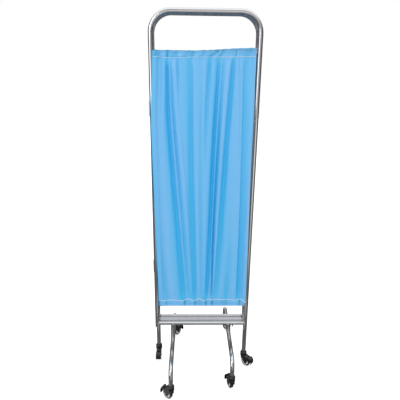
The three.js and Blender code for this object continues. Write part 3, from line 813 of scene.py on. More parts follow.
# The folds, as shares of the curtain's width. Each has its place at the heights below, its half width
# at the top and bottom, how much wider it is to the right (or, below zero, to the left), and how far it
# stands forward (a ridge) or back (a valley) at each height.
FOLD_HEIGHT_SHARES = (0.0, 0.206, 0.441, 0.70, 1.0)
FOLDS = (
    ((0.142, 0.172, 0.207, 0.246, 0.290), (0.015, 0.031), -0.45, (-0.66, -0.84, -0.86, -0.84, -0.78)),
    ((0.157, 0.198, 0.237, 0.279, 0.330), (0.007, 0.010), 0.0, (0.14, 0.22, 0.24, 0.20, 0.14)),
    ((0.172, 0.215, 0.260, 0.300, 0.355), (0.011, 0.016), 0.0, (-0.24, -0.42, -0.44, -0.38, -0.20)),
    ((0.213, 0.262, 0.311, 0.349, 0.390), (0.012, 0.011), 0.0, (0.16, 0.18, 0.24, 0.26, 0.20)),
    ((0.242, 0.272, 0.290, 0.300, 0.310), (0.012, 0.020), 0.0, (-0.36, -0.06, 0.00, 0.00, 0.00)),
    ((0.368, 0.392, 0.398, 0.406, 0.415), (0.024, 0.034), -0.5, (-0.46, -0.60, -0.64, -0.70, -0.70)),
    ((0.490, 0.488, 0.486, 0.487, 0.497), (0.014, 0.018), 0.0, (0.00, -0.14, -0.20, -0.28, -0.28)),
    ((0.555, 0.540, 0.525, 0.510, 0.500), (0.016, 0.016), 0.0, (-0.52, -0.36, 0.00, 0.00, 0.00)),
    ((0.512, 0.515, 0.520, 0.525, 0.528), (0.007, 0.010), 0.0, (0.16, 0.14, 0.06, 0.08, 0.10)),
    ((0.645, 0.627, 0.605, 0.582, 0.546), (0.015, 0.020), -0.2, (-0.52, -0.82, -1.00, -1.00, -0.76)),
    ((0.668, 0.650, 0.627, 0.604, 0.588), (0.006, 0.006), 0.0, (0.08, 0.20, 0.26, 0.30, 0.24)),
    ((0.688, 0.672, 0.645, 0.619, 0.604), (0.013, 0.011), 0.0, (-0.30, -0.48, -0.76, -0.88, -0.45)),
    ((0.745, 0.716, 0.685, 0.652, 0.616), (0.014, 0.010), 0.0, (0.20, 0.26, 0.34, 0.34, 0.24)),
    ((0.784, 0.756, 0.725, 0.692, 0.642), (0.018, 0.030), 0.1, (-0.58, -0.70, -0.74, -0.70, -0.50)),
    ((0.826, 0.845, 0.855, 0.850, 0.840), (0.008, 0.014), 0.0, (0.18, 0.12, 0.04, 0.00, 0.00)),
    ((0.800, 0.800, 0.800, 0.800, 0.770), (0.018, 0.026), 0.0, (0.00, 0.00, 0.00, -0.12, -0.58)),
    ((0.890, 0.897, 0.905, 0.905, 0.898), (0.026, 0.030), 0.75, (-0.24, -0.44, -0.52, -0.64, -0.64)),
    ((0.985, 0.985, 0.985, 0.975, 0.965), (0.010, 0.011), 0.0, (0.00, 0.14, 0.22, 0.26, 0.26)),
    ((0.016, 0.013, 0.013, 0.013, 0.018), (0.013, 0.013), 0.0, (-0.25, -0.30, -0.32, -0.30, -0.14)),
    ((0.045, 0.050, 0.050, 0.055, 0.088), (0.022, 0.030), 0.0, (-0.26, -0.06, 0.00, -0.10, -0.48)),
    ((0.092, 0.096, 0.100, 0.105, 0.110), (0.008, 0.020), 0.0, (-0.26, -0.08, 0.06, 0.06, 0.04)),
    ((0.116, 0.120, 0.120, 0.125, 0.170), (0.009, 0.022), 0.0, (0.16, 0.10, 0.08, 0.08, 0.08)),
)
# The scallops of the bottom stitches between the gathers: shares across and rise in millimetres
SCALLOP_SHARES = (
    0.0, 0.067, 0.144, 0.215, 0.27, 0.298, 0.336, 0.375, 0.40, 0.425, 0.46, 0.50, 0.53, 0.545, 0.576, 0.602, 0.614,
    0.632, 0.653, 0.72, 0.797, 0.89, 0.95, 1.0)
SCALLOP_RISE = (
    14.0, 6.5, 13.0, 10.0, 3.0, 11.0, 19.0, 13.0, 1.5, 12.0, 19.5, 10.0, 1.0, 13.0, 17.5, 15.0, 3.5,
    14.0, 18.5, 10.5, 16.0, 9.5, 19.0, 0.0)
# The pinches of the two pockets: the share at the stitches and at the pocket's edge, half width, strength
TOP_PINCHES = (
    (0.03, 0.03, 0.030, -0.40), (0.115, 0.11, 0.012, 0.25), (0.142, 0.142, 0.010, -0.70), (0.20, 0.23, 0.020, -0.30),
    (0.275, 0.28, 0.012, 0.30), (0.30, 0.35, 0.020, -0.30), (0.375, 0.39, 0.015, -0.35), (0.41, 0.47, 0.012, 0.25),
    (0.46, 0.50, 0.010, -0.35), (0.545, 0.625, 0.022, -0.55), (0.60, 0.655, 0.012, 0.30), (0.645, 0.675, 0.012, -0.55),
    (0.70, 0.70, 0.020, 0.10), (0.80, 0.805, 0.006, -0.60), (0.83, 0.825, 0.010, 0.25), (0.90, 0.92, 0.030, -0.20),
    (0.955, 0.985, 0.010, 0.30))
BOTTOM_PINCHES = (
    (0.0, 0.0, 0.010, -0.90), (0.085, 0.085, 0.008, -0.40), (0.20, 0.20, 0.030, 0.10), (0.294, 0.298, 0.010, -0.85),
    (0.415, 0.418, 0.010, -0.85), (0.47, 0.47, 0.020, -0.15), (0.54, 0.54, 0.009, -0.95), (0.618, 0.61, 0.010, -0.85),
    (0.68, 0.68, 0.030, -0.10), (0.735, 0.735, 0.006, -0.55), (0.757, 0.757, 0.005, -0.45), (0.78, 0.78, 0.006, -0.50),
    (0.86, 0.86, 0.030, 0.10), (0.93, 0.925, 0.012, -0.60), (0.965, 0.965, 0.012, 0.30), (1.0, 1.0, 0.010, -0.50))
# How far the lapped curtains reach past the uprights' inner sides in millimetres, from top to bottom
REACH_HEIGHT_SHARES = (0.0, 0.08, 0.165, 0.25, 0.36, 0.49, 0.61, 0.745, 0.886, 1.0)
LEFT_REACH = (6.0, 9.0, 16.0, 18.0, 16.0, 13.0, 9.5, 7.0, 3.5, 1.5)
RIGHT_REACH = (-1.5, -1.5, 0.6, 0.8, 0.6, 1.5, 2.7, 4.5, 6.0, 7.8)
# The top pocket: how far its edge stands clear of the rod and how far its stitches rise, in millimetres
EDGE_SHARES = (0.0, 0.25, 0.37, 0.53, 0.69, 0.79, 0.88, 1.0)
TOP_STAND = (0.5, 0.3, 0.3, 2.5, 7.3, 11.0, 12.6, 14.5)
TOP_SEAM_RISE = (8.8, 5.0, 9.6, 10.6, 11.6, 12.5, 13.5, 14.0)
# How many columns on either side round off the scallops of the bottom stitches
SEAM_BLUR = 5


def smooth_step(value):
    value = np.clip(value, 0, 1)
    return value * value * (3 - 2 * value)


# How far the cloth stands: flat between its folds, in its panel's plane, and forward where it laps the uprights
FLAT_LEVEL, PLANE_LEVEL = 0.68, 0.48
LAP_STAND = 13.4 * MM
SIDE_CLEARANCE = 1.2 * MM
PUCKER_DEPTH = 2.2 * MM
# How strongly slow waves, fine streaks and creases stir the cloth, and over which shares of its height a
# fold swings free of the stitches and their gathers die away
WAVE_SHARE, STREAK_SHARE, CREASE_SHARE = 0.12, 0.06, 0.05
SWING_ZONE, GATHERED_TOP, GATHERED_BOTTOM = 0.04, 0.035, 0.03
# The flat of each lap past its upright, and how far in it eases off into the folds
LEFT_LAP, RIGHT_LAP = (14 * MM, 20 * MM), (5 * MM, 18 * MM)


class CurtainShape:
    """Where every point of a curtain lies, in its panel's own plane: x across, y out, z up."""

    def __init__(self, panel):
        curtain = settings().curtain
        self.front = panel == "front"
        self.lapped = panel != "middle"
        self.seed = PANELS.index(panel) + 1
        self.columns = curtain.columns
        self.top_stitch = TOP_ROD_HEIGHT - curtain.top_pocket
        self.bottom_stitch = BOTTOM_ROD_HEIGHT + curtain.bottom_pocket
        self.depth = curtain.fold_depth * (1.0 if self.lapped else 0.5)
        self.share = np.linspace(0, 1, self.columns + 1)
        self.seen_share = self.share if self.lapped else 1 - self.share
        self.reach = HALF_SPAN - TUBE_RADIUS - SIDE_CLEARANCE
        self.top_pucker = self._pucker(23, 0)
        self.bottom_pucker = self._pucker(19, 5)

    def noise(self, scale, *place):
        """A smooth run of numbers between about -1 and 1 across the curtain, the same each time."""
        return np.array([noise.noise(Vector((share * scale, *place))) for share in self.share])

    def _pucker(self, count, shift):
        """The small gathers that a row of stitches draws up."""
        run = self.noise(9.0, self.seed + shift, 1.7)
        fine = self.noise(21.0, self.seed + shift, 8.3)
        wave = np.sin(2 * math.pi * (self.share * count + 1.6 * run))
        return (0.6 * wave + 0.4 * np.sin(2 * math.pi * (self.share * count * 1.9 + 1.2 * fine))) * (0.7 + 0.6 * fine)

    def edges(self, t):
        left, right = -self.reach, self.reach
        if self.lapped:
            left -= np.interp(t, REACH_HEIGHT_SHARES, LEFT_REACH) * MM
            right += np.interp(t, REACH_HEIGHT_SHARES, RIGHT_REACH) * MM
        return left, right

    def stroke(self, at, width, lean, strength):
        """One fold's part in how far forward the cloth stands."""
        away = self.seen_share - at
        return strength / (1 + np.abs(away / (width * (1 + lean * np.sign(away)))) ** 3)

    def level(self, t):
        """How far forward the cloth stands, from 0 in a deep valley to 1 on a ridge; it also sets the painted fold
        shade.
        """
        total = np.full_like(self.share, FLAT_LEVEL)
        for places, (wide_top, wide_bottom), lean, strengths in FOLDS:
            at = np.polyval(np.polyfit(FOLD_HEIGHT_SHARES, places, 4), t)
            strength = np.interp(t, FOLD_HEIGHT_SHARES, strengths)
            total += self.stroke(at, wide_top + (wide_bottom - wide_top) * t, lean, strength)
        broad = self.noise(5.0, t * 2.1, self.seed * 3.1)
        streaks = self.noise(34.0, t * 1.5, self.seed * 8.3)
        return total + WAVE_SHARE * broad + STREAK_SHARE * streaks

    def forward(self, t):
        """How far the cloth stands towards its front, at a share t of the way down between the stitches."""
        creases = self.noise(26.0, t * 4.0, self.seed * 5.7)
        swing = float(smooth_step(min(t, 1 - t) / SWING_ZONE))
        held = math.exp(-t / GATHERED_TOP) * self.top_pucker
        held += math.exp(-(1 - t) / GATHERED_BOTTOM) * self.bottom_pucker
        fold = (self.level(t) - PLANE_LEVEL) * (0.25 + 0.75 * swing) + CREASE_SHARE * creases
        return self.depth * fold + PUCKER_DEPTH * held

    def lap(self, x, t):
        """How much each point belongs to the cloth that laps over the uprights."""
        left, right = self.edges(t)
        at_left = 1 - smooth_step((x - left - LEFT_LAP[0]) / LEFT_LAP[1])
        at_right = 1 - smooth_step((right - x - RIGHT_LAP[0]) / RIGHT_LAP[1])
        at_left *= 1 - 0.75 * smooth_step((t - 0.86) / 0.14)
        at_right *= smooth_step((t - 0.3) / 0.5)
        return np.maximum(at_left, at_right)

    def row(self, t):
        """Places across and out from the panel's plane."""
        left, right = self.edges(t)
        x = left + (right - left) * self.share
        out = -self.forward(t)
        if self.lapped:
            lap = self.lap(x, t)
            out = out * (1 - lap) - lap * LAP_STAND
        return x, out


class Pocket:
    """A curtain's sleeve round its rod, at the top (level 1) or at the bottom (level -1)."""

    BY_SHARE = (0.0, 0.05, 0.12, 0.22, 0.34, 0.48, 0.62, 0.76, 0.9)
    BY_DISTANCE = (8.0 * MM, 6.2 * MM, 4.8 * MM, 3.4 * MM, 2.0 * MM)
    TURN_STEPS = 12
    # How far forward plain cloth counts as standing, and how a pinch changes that and darkens the cloth with painted
    # shade
    PLAIN, PINCH_FOLD, PINCH_SHADE = 0.66, 0.9, 0.48
    # How far the flanks stand out in millimetres, and how much more or less at a pinch
    PUFF, PINCHED_PUFF = 2.4, 3.2
    SLACK = 0.6 * MM
    # From the rod's line down to the end of its bulge, and how much painted shade darkens the pocket's edge, by level
    GROOVE = {1: 9 * MM, -1: 5.5 * MM}
    EDGE_SHADE = {1: 0.3, -1: 0.55}
    EDGE_ANGLE, EDGE_SPREAD = 2.45, 0.55
    # How far the cloth's middle clears the rod, and what the turned end adds to that, plain and at a pinch
    ROD_CLEARANCE, TURN_CLEARANCE, TURN_PINCH = 1.3 * MM, 1.2 * MM, 0.9 * MM
    # Where the raw edge ends inside the curtain, behind and past the stitches
    RAW_EDGE_BACK, RAW_EDGE_DROP = 3 * MM, 6 * MM
    # How far the top pocket's left corner pokes out, and how closely it keeps to that corner
    CORNER_REACH, CORNER_SHARPNESS = 6 * MM, 24
    # The painted shadow line along the crease over the bottom rod's bulge
    ROD_SHADE, ROD_SHADE_AT, ROD_SHADE_SPREAD = 0.16, 4.6 * MM, 1.6 * MM

    def __init__(self, shape, level):
        self.shape = shape
        self.level = level
        self.rod = TOP_ROD_HEIGHT if level > 0 else BOTTOM_ROD_HEIGHT
        self.stitch = shape.top_stitch if level > 0 else shape.bottom_stitch
        self.t = 0.0 if level > 0 else 1.0
        self.rise = top_seam_rise(shape) if level > 0 else bottom_seam_rise(shape)
        self.wrap = ROD_RADIUS + self.ROD_CLEARANCE

    def stand(self):
        """How far the fold at the pocket's edge stands clear of the rod."""
        shape = self.shape
        ragged = shape.noise(30.0, shape.seed, 4.4)
        if self.level > 0:
            reach = TOP_STAND if shape.front else (1.0,) * len(TOP_STAND)
            return np.maximum(np.interp(shape.seen_share, EDGE_SHARES, reach) + 1.2 * ragged, 0.1) * MM
        return (0.8 + 0.4 * ragged) * MM

    def pinches(self, height):
        """The small folds between the stitches (height 0) and the pocket's edge (height 1), below 0 where sunk."""
        shape = self.shape
        total = 0.16 * shape.noise(60.0, shape.seed + 3 * self.level, height * 0.6)
        for at_seam, at_edge, width, strength in TOP_PINCHES if self.level > 0 else BOTTOM_PINCHES:
            total += shape.stroke(at_seam + (at_edge - at_seam) * height, width, 0, strength)
        return total

    def wall(self, side, z, stitched):
        """One flank of the pocket at heights z: how far out it lies, its fold and its painted shade."""
        along = np.abs(z - self.rod)
        span = np.abs(self.stitch + self.rise - self.rod)
        height = np.clip(1 - along / span, 0, 1)
        groove = self.GROOVE[self.level]
        bulge = (self.wrap + self.SLACK) * smooth_step(1 - along / groove)
        puff = np.sin(math.pi * np.clip((span - along) / (span - 0.5 * groove), 0, 1)) ** 0.8
        pinch = self.pinches(float(np.mean(height)))
        y = side * (self.SLACK + bulge + puff * (self.PUFF + self.PINCHED_PUFF * pinch) * MM)
        keep = 1 - smooth_step(height * 1.4)
        # painted shade in the pinches' hollows; at the bottom also a painted shadow line in the crease over the rod
        dim = self.PINCH_SHADE * np.clip(-pinch, 0, 1) * np.clip(0.3 + puff, 0, 1)
        if self.level < 0:
            dim = dim + self.ROD_SHADE * np.exp(-((along - self.ROD_SHADE_AT) / self.ROD_SHADE_SPREAD) ** 2)
        return y + stitched * keep, self.PLAIN + self.PINCH_FOLD * pinch, dim

    def turn(self, angle):
        """The pocket's end round the far side of the rod, at an angle from the back."""
        stand = self.stand()
        pinch = self.pinches(1.0)
        fin = 1 - 0.6 * math.sin(angle) ** 2 * np.clip(stand / (10 * MM), 0, 1)
        y = math.cos(angle) * (self.wrap + self.TURN_CLEARANCE + self.TURN_PINCH * pinch) * fin
        z = self.rod + self.level * math.sin(angle) * (self.wrap + stand)
        # painted shade on the roll's underside, and in the pinches' hollows
        edge = self.EDGE_SHADE[self.level] * math.exp(-((angle - self.EDGE_ANGLE) / self.EDGE_SPREAD) ** 2)
        return y, z, self.PLAIN + self.PINCH_FOLD * pinch, edge + self.PINCH_SHADE * np.clip(-pinch, 0, 1)

    def rows(self):
        """Rows of points from the raw edge behind, over the rod, to the stitches in front."""
        shape = self.shape
        seam = self.stitch + self.rise
        near = self.rod - self.level * self.BY_DISTANCE[0]
        _, stitched = shape.row(self.t)
        left, right = shape.edges(self.t)
        x = left + (right - left) * shape.share
        over_tube = shape.lap(x, self.t) * (x < 0) if shape.lapped else np.zeros_like(x)
        rows = []

        def add(side, y, z, fold, dim, corner=0.0):
            y = y * (1 - over_tube) + (-LAP_STAND + 0.2 * side * self.wrap) * over_tube
            rows.append((x + corner * (1 - shape.share) ** self.CORNER_SHARPNESS, y, z, fold, dim))

        heights = [seam + (near - seam) * share for share in self.BY_SHARE]
        heights += [np.full_like(x, self.rod - self.level * d) for d in self.BY_DISTANCE]
        raw_edge = seam - self.level * self.RAW_EDGE_DROP
        add(1, stitched + self.RAW_EDGE_BACK, raw_edge, np.full_like(x, 0.4), np.zeros_like(x))
        for z in heights:
            y, *shading = self.wall(1, z, stitched)
            add(1, y, z, *shading)
        for i in range(self.TURN_STEPS + 1):
            angle = math.pi * i / self.TURN_STEPS
            corner = self.CORNER_REACH * math.sin(angle) ** 3 if self.level > 0 else 0.0
            add(math.cos(angle), *self.turn(angle), corner)
        for z in reversed(heights):
            y, *shading = self.wall(-1, z, stitched)
            add(-1, y, z, *shading)
        return rows


def top_seam_rise(shape):
    """How far the top stitches lie above their lowest level."""
    if not shape.front:
        return np.zeros_like(shape.share)
    waver = shape.noise(11.0, shape.seed, 6.1)
    return (np.interp(shape.seen_share, EDGE_SHARES, TOP_SEAM_RISE) + 0.7 * waver) * MM


def bottom_seam_rise(shape):
    """How far the bottom stitches rise above their lowest line between the gathers."""
    rise = np.interp(shape.seen_share, SCALLOP_SHARES, SCALLOP_RISE)
    window = np.ones(2 * SEAM_BLUR + 1)
    rise = np.convolve(np.pad(rise, SEAM_BLUR, mode="edge"), window / window.size, mode="valid")
    return (rise if shape.front else 6.0 + 0.5 * rise) * MM


ROW_CROWDING = 0.35
CLOTH_THICKNESS = 0.5 * MM
STITCH_STEP, STITCH_MARGIN, STITCH_RADIUS, STITCH_STAND = 0.45 * MM, 2 * MM, 0.5 * MM, 0.9 * MM
# Half a zigzag's height in millimetres: along the bottom seam, at the top seam's left, and what its right adds
LOW_REACH, HIGH_REACH, HIGH_REACH_MORE = 2.4, 0.3, 1.2


def curtain_rows(shape):
    """Every row of a curtain's points, from the raw edge behind the top pocket to that behind the bottom one.

    Each row is places across, out and up, how far forward the cloth stands, which also sets its painted fold shade,
    and how much painted shade it carries.
    """
    curtain = settings().curtain
    top = Pocket(shape, 1)
    bottom = Pocket(shape, -1)
    high, low = shape.top_stitch + top.rise, shape.bottom_stitch + bottom.rise
    upper, lower = top.rows(), bottom.rows()
    rows = []
    for i in range(1, curtain.rows):
        t = i / curtain.rows
        t -= ROW_CROWDING * math.sin(2 * math.pi * t) / (2 * math.pi)
        x, y = shape.row(t)
        # the cloth's level also sets its painted fold shade
        rows.append((x, y, high + (low - high) * t, shape.level(t), np.zeros_like(x)))
    return [*upper, *rows, *reversed(lower)], (len(upper) - 1, len(upper) + len(rows))


def curtain_piece(panel):
    shape = CurtainShape(panel)
    rows, seams = curtain_rows(shape)
    bm = bmesh.new()
    grid = [[bm.verts.new(local(panel, *point)) for point in zip(*row[:3])] for row in rows]
    for upper, lower in zip(grid, grid[1:]):
        bridge(bm, upper, lower, closed=False)
    node = f"{panel}_curtain"
    cloth = piece(f"{node}_cloth", bm, curtain_blue(), node, smooth_angle=180)
    # fold sets the painted highlight on ridges and painted shade in folds; shade lays painted shade in pinches and
    # along the pockets' edges
    for name, column in (("fold", 3), ("shade", 4)):
        values = np.clip(np.concatenate([row[column] for row in rows]), 0, 1)
        cloth.data.attributes.new(name, "FLOAT", "POINT").data.foreach_set("value", values.astype(np.float32))
    solid = cloth.modifiers.new("thickness", "SOLIDIFY")
    solid.thickness = CLOTH_THICKNESS
    solid.offset = 0.0
    stitches = stitch_piece(panel, [rows[seam] for seam in seams])


def stitch_piece(panel, seams):
    """Zigzag stitches along both seams, standing just proud of the cloth in front."""
    bm = bmesh.new()
    for (x, y, z, *_), low in zip(seams, (False, True)):
        run = np.concatenate([[0], np.cumsum(np.hypot(np.hypot(np.diff(x), np.diff(y)), np.diff(z)))])
        count = int(run[-1] / STITCH_STEP)
        marks = np.linspace(STITCH_MARGIN, run[-1] - STITCH_MARGIN, count)
        xs, ys, zs = (np.interp(marks, run, line) for line in (x, y, z))
        share = np.linspace(0, 1, count)
        grown = smooth_step((share - 0.52) / 0.16)
        reach = np.full(count, LOW_REACH) if low else HIGH_REACH + HIGH_REACH_MORE * grown
        side = np.sin(math.pi / 2 * np.arange(count))
        points = [local(panel, *point) for point in zip(xs, ys - STITCH_STAND, zs + side * reach * MM)]
        outward = Vector((0, -FACING[panel], 0))
        bead_along(bm, points, [outward] * count, STITCH_RADIUS, closed=False, sides=5, ripple_share=0.0)
    node = f"{panel}_curtain"
    return piece(f"{node}_stitches", bm, stitch_thread(), node, replaces=False, smooth_angle=60)


# Castors


def caster_stance(name):
    """How far a castor's wheel trails behind its stem, and the place and turn of the castor."""
    stem, tyre = (middle_of(f"{name}_caster_{part}") for part in ("stem", "tyre"))
    x, y = tyre.x - stem.x, tyre.y - stem.y
    return math.hypot(x, y), Matrix.Translation((stem.x, stem.y, 0)) @ Matrix.Rotation(math.atan2(y, x), 4, "Z")


WELL_RADIUS, WELL_HALF, FORK_HALF = 27.5 * MM, 10.4 * MM, 13.4 * MM
CROWN_TOP = AXLE_HEIGHT + WELL_RADIUS + 9 * MM
CROWN_LOW, CROWN_FRONT = CROWN_TOP - 6 * MM, -9 * MM
HEAD_RADIUS, HEAD_SHOULDER, NECK_RADIUS, NECK_LOW = 17.35 * MM, 5 * MM, 13 * MM, HEAD_TOP - 3 * MM
PIVOT_OUT, PIVOT_UP = 15 * MM, 25 * MM
TAIL_OUT, TAIL_ROUND = 13 * MM, 7 * MM
AXLE_BOSS, AXLE_RADIUS, AXLE_RIM = 9 * MM, 5.2 * MM, 0.6 * MM


def fork_mould(trail):
    """Cheeks, crown over the wheel, round head and axle ends, joined as one moulding."""
    bm = bmesh.new()
    front = [(CROWN_FRONT, CROWN_LOW), (CROWN_FRONT, CROWN_TOP), (HEAD_RADIUS, CROWN_TOP)]
    cheek = front + arc((trail + TAIL_OUT, AXLE_HEIGHT + PIVOT_UP), TAIL_ROUND, 62, -18, 8)
    cheek += arc((trail, AXLE_HEIGHT), AXLE_BOSS, 8, -188, 16)
    for low, high in ((-FORK_HALF, -WELL_HALF), (WELL_HALF, FORK_HALF)):
        side_plate(bm, cheek, low, high)
    crown = [*front, (trail + 12 * MM, AXLE_HEIGHT + PIVOT_UP + 8 * MM)]
    crown += arc((trail, AXLE_HEIGHT), WELL_RADIUS, 66, 168, 16)
    side_plate(bm, crown, -FORK_HALF + 0.5 * MM, FORK_HALF - 0.5 * MM)
    head = [(0, CROWN_LOW), (HEAD_RADIUS, CROWN_LOW)]
    head += arc((HEAD_RADIUS - HEAD_SHOULDER, NECK_LOW - HEAD_SHOULDER), HEAD_SHOULDER, 0, 90, 6)
    head += [(NECK_RADIUS, NECK_LOW), (NECK_RADIUS, HEAD_TOP), (0, HEAD_TOP)]
    turned(bm, head, 48)
    rib = [(trail - 2 * MM, AXLE_HEIGHT + 8 * MM), (trail + 2 * MM, AXLE_HEIGHT + 8 * MM),
           (trail + 1 * MM, CROWN_TOP - 4 * MM), (trail - 9 * MM, CROWN_TOP - 4 * MM)]
    for side in (-1, 1):
        inner, outer = side * (FORK_HALF - 1.2 * MM), side * (FORK_HALF + 1.2 * MM)
        ends = [(trail, y, AXLE_HEIGHT) for y in (inner, outer)]
        solid_bar(bm, *ends, (1, 0, 0), AXLE_RADIUS, rim=AXLE_RIM)
        side_plate(bm, rib, *sorted((inner, side * (FORK_HALF + 0.9 * MM))))
    return moulded(bm, settings().caster.voxel, rounds=3)


ARM_REACH, ARM_BOSS, PEDAL_PIN = 15 * MM, 3.4 * MM, 1.6 * MM
TREAD_HALF, GRIP_HALF, GRIP_RADIUS = 15 * MM, 13 * MM, 1.1 * MM


def pedal_mould(trail):
    """Boss, arm and curved tread with grip ribs, joined as one moulding."""
    bm = bmesh.new()
    pivot = x, z = trail + PIVOT_OUT, AXLE_HEIGHT + PIVOT_UP
    arm = [(x + ARM_REACH, z - ARM_BOSS), (x + ARM_REACH, z + ARM_BOSS)]
    arm += arc(pivot, ARM_BOSS, 90, 240, 8) + arc(pivot, 5.3 * MM, 293, 294, 1)
    side_plate(bm, arm, 0.7 * MM - WELL_HALF, WELL_HALF - 0.7 * MM)
    outer, inner = tread_curves(pivot)
    side_plate(bm, outer + inner[::-1], -TREAD_HALF, TREAD_HALF)
    for at in (outer[i] for i in (7, 10, 13, 16)):
        rib = arc((at[0] - 0.2 * MM, at[1]), GRIP_RADIUS, 0, 330, 11)
        side_plate(bm, rib, -GRIP_HALF, GRIP_HALF)
    solid_bar(bm, (x, -FORK_HALF, z), (x, FORK_HALF, z), (1, 0, 0), PEDAL_PIN, 16)
    return moulded(bm, settings().caster.voxel * 0.75, rounds=2)


def tread_curves(pivot):
    """The outer and inner lines of the tread's side view."""
    start, heel, drop, top, wall = 5.9 * MM, 20.2 * MM, 29 * MM, 8 * MM, 2.6 * MM
    back, waist = heel * 1.39, -drop * 0.41

    def curve(a, b, c, d):
        return [
            tuple(pivot[k] + (1 - t) ** 3 * a[k] + 3 * (1 - t) ** 2 * t * b[k] + 3 * (1 - t) * t * t * c[k]
                  + t**3 * d[k] for k in (0, 1))
            for t in (i / 20 for i in range(21))]

    return (
        curve((start, top), (heel, top), (back, waist), (heel, -drop)),
        curve((start, top - wall), (heel - wall, top - wall), (back - wall, waist), (heel - wall, -drop)))


WHEEL_HALF = 9 * MM
HUB_RIBS = 5


def wheel_ring(right, sides):
    """A ring turned from the profile of its right half."""
    bm = bmesh.new()
    turned(bm, right + [(radius, -out) for radius, out in reversed(right)], sides, closed=True)
    return bm


def on_axle(bm, trail):
    turn = Matrix.Translation((trail, 0, AXLE_HEIGHT)) @ Matrix.Rotation(math.pi / 2, 4, "X")
    bmesh.ops.transform(bm, matrix=turn, verts=bm.verts)
    return bm


def tyre_mesh(trail):
    """A tyre with rounded shoulders, a shallow centre line and a small moulding step on each wall."""
    radius, half, inner, shoulder = AXLE_HEIGHT, WHEEL_HALF, 17.2 * MM, 3.4 * MM
    right = [(inner, half - 0.4 * MM), (inner + 0.5 * MM, half), (20 * MM, half), (20.3 * MM, half - 0.35 * MM)]
    right += arc((radius - shoulder, half - shoulder), shoulder, 90, 0, 7, shoulder - 0.2 * MM)
    right += [(radius, 1.2 * MM), (radius - 0.35 * MM, 0.5 * MM)]
    return on_axle(wheel_ring(right, 72), trail)


def hub_mesh(trail):
    """The pale wheel centre: a raised rim, a dished web with ribs, and a boss on the axle."""
    half, outer, rim, boss, bore, rib = WHEEL_HALF, 17 * MM, 13.6 * MM, 6.5 * MM, 3.3 * MM, 0.85 * MM
    dish = half - 2.4 * MM
    right = [(bore, half + 0.4 * MM), (boss - 0.5 * MM, half + 0.4 * MM), (boss, half), (boss + 0.6 * MM, dish),
             (rim - 0.8 * MM, dish), (rim, half - 0.4 * MM), (rim + 0.4 * MM, half), (outer - 0.3 * MM, half),
             (outer, half - 0.5 * MM)]
    bm = wheel_ring(right, 60)
    for i in range(HUB_RIBS):
        place = Matrix.Rotation(2 * math.pi * i / HUB_RIBS, 3, "Z")
        for side in (-1, 1):
            middle = side * (dish + 0.4 * MM)
            ends = [[place @ Vector((x, y, z)) for y, z in (
                (-rib, middle - rib), (rib, middle - rib), (rib, middle + rib), (-rib, middle + rib))]
                for x in (boss, rim)]
            loft(bm, ends)
    return on_axle(bm, trail)


def stem_mesh():
    """The stem under its flange, and the plug that holds it in the tube."""
    low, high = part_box("front_leg_caster_stem")
    flange_top, flange_low = LEG_END - 0.3 * MM, HEAD_TOP + 0.3 * MM
    rim, neck, wall, clearance = 0.4 * MM, 5.5 * MM, 1.2 * MM, 0.8 * MM
    plug = TUBE_RADIUS - wall - clearance
    bm = bmesh.new()
    turned(bm, [
        (0, low.z), (neck, low.z), (neck, flange_low), (TUBE_RADIUS - rim, flange_low),
        (TUBE_RADIUS, flange_low + rim), (TUBE_RADIUS, flange_top - rim), (TUBE_RADIUS - rim, flange_top),
        (plug, flange_top), (plug, high.z - 4 * MM), (plug - 1.5 * MM, high.z), (0, high.z)], 36)
    return bm


def caster_pieces():
    """Every castor from one set of mouldings, since all six are alike."""
    trail, _ = caster_stance(CASTERS[0])
    parts = (
        ("caster_yoke", fork_mould(trail), moulded_black(), "black_plastic", "moulding"),
        ("brake_pedal", pedal_mould(trail), moulded_black(), "black_plastic", "moulding"),
        ("caster_tyre", tyre_mesh(trail), tread_rubber(), "tyre", "rubber"),
        ("caster_hub", hub_mesh(trail), hub_grey(), "grey_plastic", "centre"),
        ("caster_stem", stem_mesh(), moulded_black(), "black_plastic", "turning"))
    for name in CASTERS:
        _, stance = caster_stance(name)
        for part, master, finish, slot, word in parts:
            bm = master.copy()
            bmesh.ops.transform(bm, matrix=stance, verts=bm.verts)
            piece(f"{name}_{part}_{word}", bm, finish, f"{name}_{part}")
    for _, master, *_ in parts:
        master.free()


# Stage


IMAGE_SIDE = 400
OPTICAL_AXIS_ROW = 194.3
SENSOR_WIDTH = 36
# Where the studio's bright screens stand, seen only as reflections
LEFT_SCREEN = (-0.68, -0.73, 0.0)
RIGHT_SCREEN = (0.24, -0.97, 0.0)
# Painted pools of light on the floor close to the feet, seen only in the steel as highlights: the middle and half
# width across, then the nearest and the farthest, each with how softly it ends
LIT_PATCHES = ((-0.02, 0.26, 0.12, 0.46, 0.05, 0.62, 0.12), (-0.26, 0.07, 0.05, 0.20, 0.05, 0.30, 0.04))
ROOM_STOPS = (
    (0.0, (0.04, 0.04, 0.042)), (0.45, (0.05, 0.05, 0.055)), (0.60, (0.12, 0.12, 0.125)),
    (0.74, (0.42, 0.41, 0.39)), (0.84, (1.15, 1.13, 1.1)), (1.0, (1.4, 1.4, 1.4)))
FRONT_STOPS = ((0.0, (0.17, 0.185, 0.22)), (0.3, (0.04, 0.045, 0.055)), (0.5, (0, 0, 0)))
SKY_STOPS = ((0.0, (0.85, 0.85, 0.85)), (0.5, (0.92, 0.92, 0.92)), (1.0, (1, 1, 1)))
WHITE = (1, 1, 1, 1)
LAMP_PLACE, LAMP_TARGET, LAMP_SIZE = Vector((-1.6, -2.6, 2.6)), Vector((0, 0, 0.9)), 1.2
FLOOR_HALF_WIDTH, FLOOR_DROP = 14, 0.5 * MM


